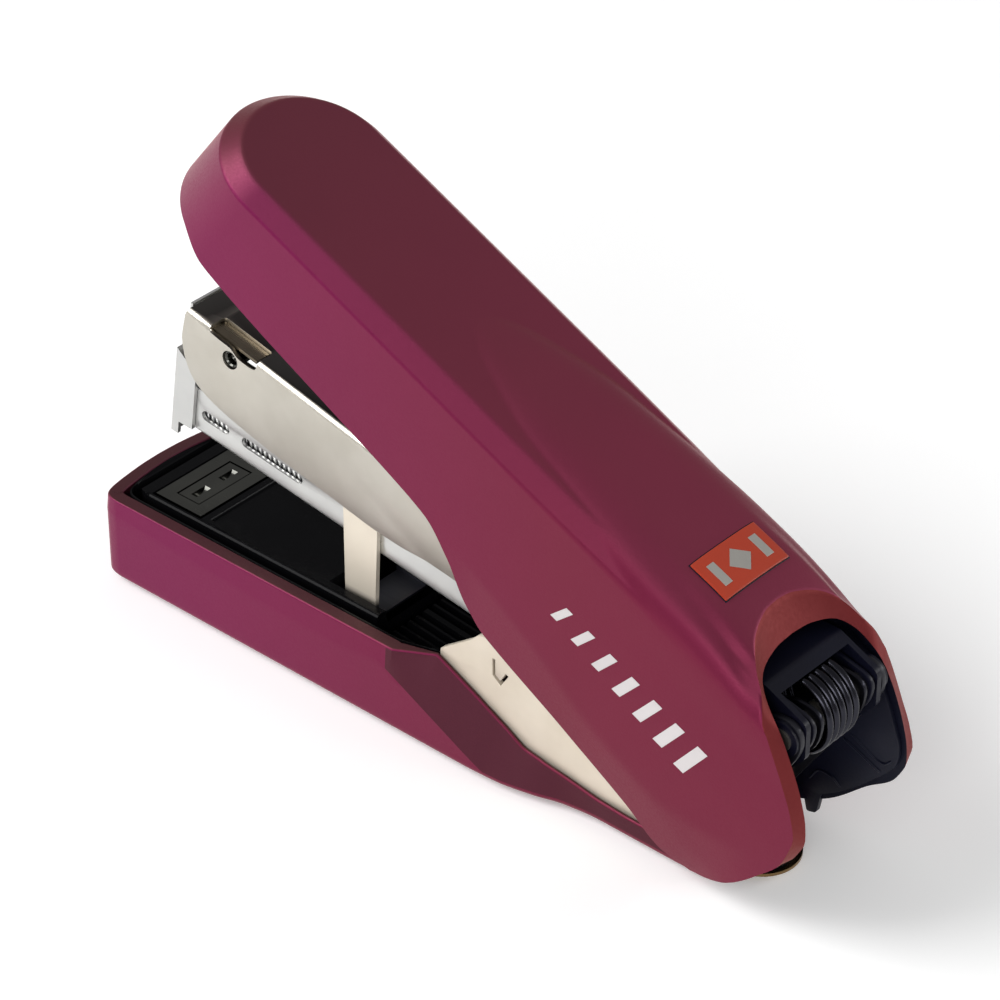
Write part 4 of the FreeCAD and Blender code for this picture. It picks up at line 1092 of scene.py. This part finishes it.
def make_magazine():
    """Bright channel that holds the staples: two slots a side, and arms that rise to the rear shaft."""
    low = -23.1
    edge = [(-135.2, 0.0), (-135.2, 9.2), (-21, 9.2), (-3.4, 26.5), (3.4, 26.5), (3.4, 19.7), (-12, 1.2), (-12, 0.0)]
    lip = [(-132.7, 0.0), (-132.7, 4.93), (-135.2, 4.94)]
    slots = [slot_loop(-129.8, -123.2, 3.4, 5.4), slot_loop(-120.2, -105.7, 3.4, 5.4)]
    channel(
        "magazine_body", rounded(edge, [0, 0.8, 6, 3, 3, 3, 1, 0], 6), [*slots, disc(0, -low, SHAFT_HOLE)],
        half=5.85, level=low, radius=0.9, way=1, thick=0.7, place=on_magazine, body="magazine", material=BRIGHT,
        replaces=("magazine_channel",), lip=lip,
    )


make_driver_frame()
make_driver_arms()
make_nose_pin()
make_torsion_coil()
make_springs()
make_magazine()

# ---------------- finishes of the carried-over nodes

CARRIED = (
    (NICKEL, "wear_plate lever_pin_left lever_pin_right roller_axle rear_shaft"),
    (STRAP, "stirrup"),
    (BRIGHT, "nose_plate guide_rod driver_blade press_roller"),
    (CHROME, "anvil_plate clincher_block"),
    (STAPLE, "staple_strip"),
    (BRASS, "remover_blade"),
    (BRONZE, "retainer_tab"),
    (BLACK_GLOSS, "remover_cover"),
    (BLACK_MATTE, "inner_frame magazine_end_block pusher shaft_clip_left shaft_clip_right"),
    (RUBBER, "foot_front foot_rear"),
)
for material, names in CARRIED:
    for name in names.split():
        for held in frame["nodes"][name].material_slots:
            held.material = material

# ---------------- stage


FLOOR_HALF = 12.0
FLOOR_LEVEL = -0.0002


def make_floor():
    """A wide pale floor that glows a little, more so far away."""
    reach = np.linspace(-1.0, 1.0, 41)[:, None] * FLOOR_HALF
    run = (np.linspace(0, 1, 60)[None, :] - 0.5) * 2 * FLOOR_HALF
    points = np.stack([reach + 0 * run, run + 0 * reach, FLOOR_LEVEL + 0 * reach + 0 * run], -1)
    mesh = bpy.data.meshes.new("floor")
    mesh.from_pydata(points.reshape(-1, 3).tolist(), [], grid_faces(41, 60).tolist())
    floor = add("floor", mesh)
    finish = Finish("pale_floor")
    speck = finish.noise(8.0, 2.0)
    finish.drive(Base_Color=finish.blend(finish.spread(speck, 0, 1), (0.93, 0.93, 0.93), (0.95, 0.95, 0.95)))
    finish.set(Roughness=0.9, Emission_Color=(1, 1, 1, 1))
    away = finish.node("ShaderNodeVectorMath")
    away.operation = "LENGTH"
    finish.join(finish.place, away.inputs[0])
    finish.drive(Emission_Strength=finish.spread(away.outputs["Value"], 0.17, 0.7, 0.4, 1.4))
    mesh.materials.append(finish.material)


def area_light(name, where, aim, size, power):
    data = bpy.data.lights.new(name, "AREA")
    data.shape = "RECTANGLE"
    data.size, data.size_y = size
    data.energy = power
    lamp = add(name, data)
    lamp.location = where
    lamp.rotation_euler = (Vector(aim) - Vector(where)).to_track_quat("-Z", "Y").to_euler()


def make_lights():
    world = bpy.data.worlds.new("studio")
    bpy.context.scene.world = world
    world.use_nodes = True
    world.node_tree.nodes["Background"].inputs["Color"].default_value = (1, 1, 1, 1)
    world.node_tree.nodes["Background"].inputs["Strength"].default_value = 0.32
    centre = (0, 0, 0.04)
    area_light("near_left", (-0.85, -0.75, 0.95), centre, (0.9, 0.9), 17.5)
    area_light("near_right", (0.55, -1.1, 0.6), centre, (0.8, 0.5), 6.5)
    area_light("far_edge", (0.75, 0.95, 0.42), centre, (0.7, 0.25), 5)
    bpy.context.scene.view_settings.view_transform = "Standard"


VIEW_AZIMUTH = 41.37
VIEW_ELEVATION = 34.66
VIEW_DISTANCE = 0.6553
VIEW_TARGET = Vector((0.00275, 0, 0.0443))
FOCAL = 144.0


def make_camera():
    data = bpy.data.cameras.new("camera")
    data.sensor_width = 36.0
    data.lens = FOCAL
    data.clip_start = 0.01
    data.clip_end = 20.0
    camera = add("camera", data)
    turn, rise = math.radians(VIEW_AZIMUTH), math.radians(VIEW_ELEVATION)
    back = Vector((math.sin(turn) * math.cos(rise), -math.cos(turn) * math.cos(rise), math.sin(rise)))
    right = Vector((math.cos(turn), math.sin(turn), 0))
    up = back.cross(right)
    spin = Matrix((right, up, back)).transposed().to_4x4()
    camera.matrix_world = Matrix.Translation(VIEW_TARGET + back * VIEW_DISTANCE) @ spin
    bpy.context.scene.camera = camera


make_floor()
make_lights()
make_camera()

bpy.context.view_layer.update()
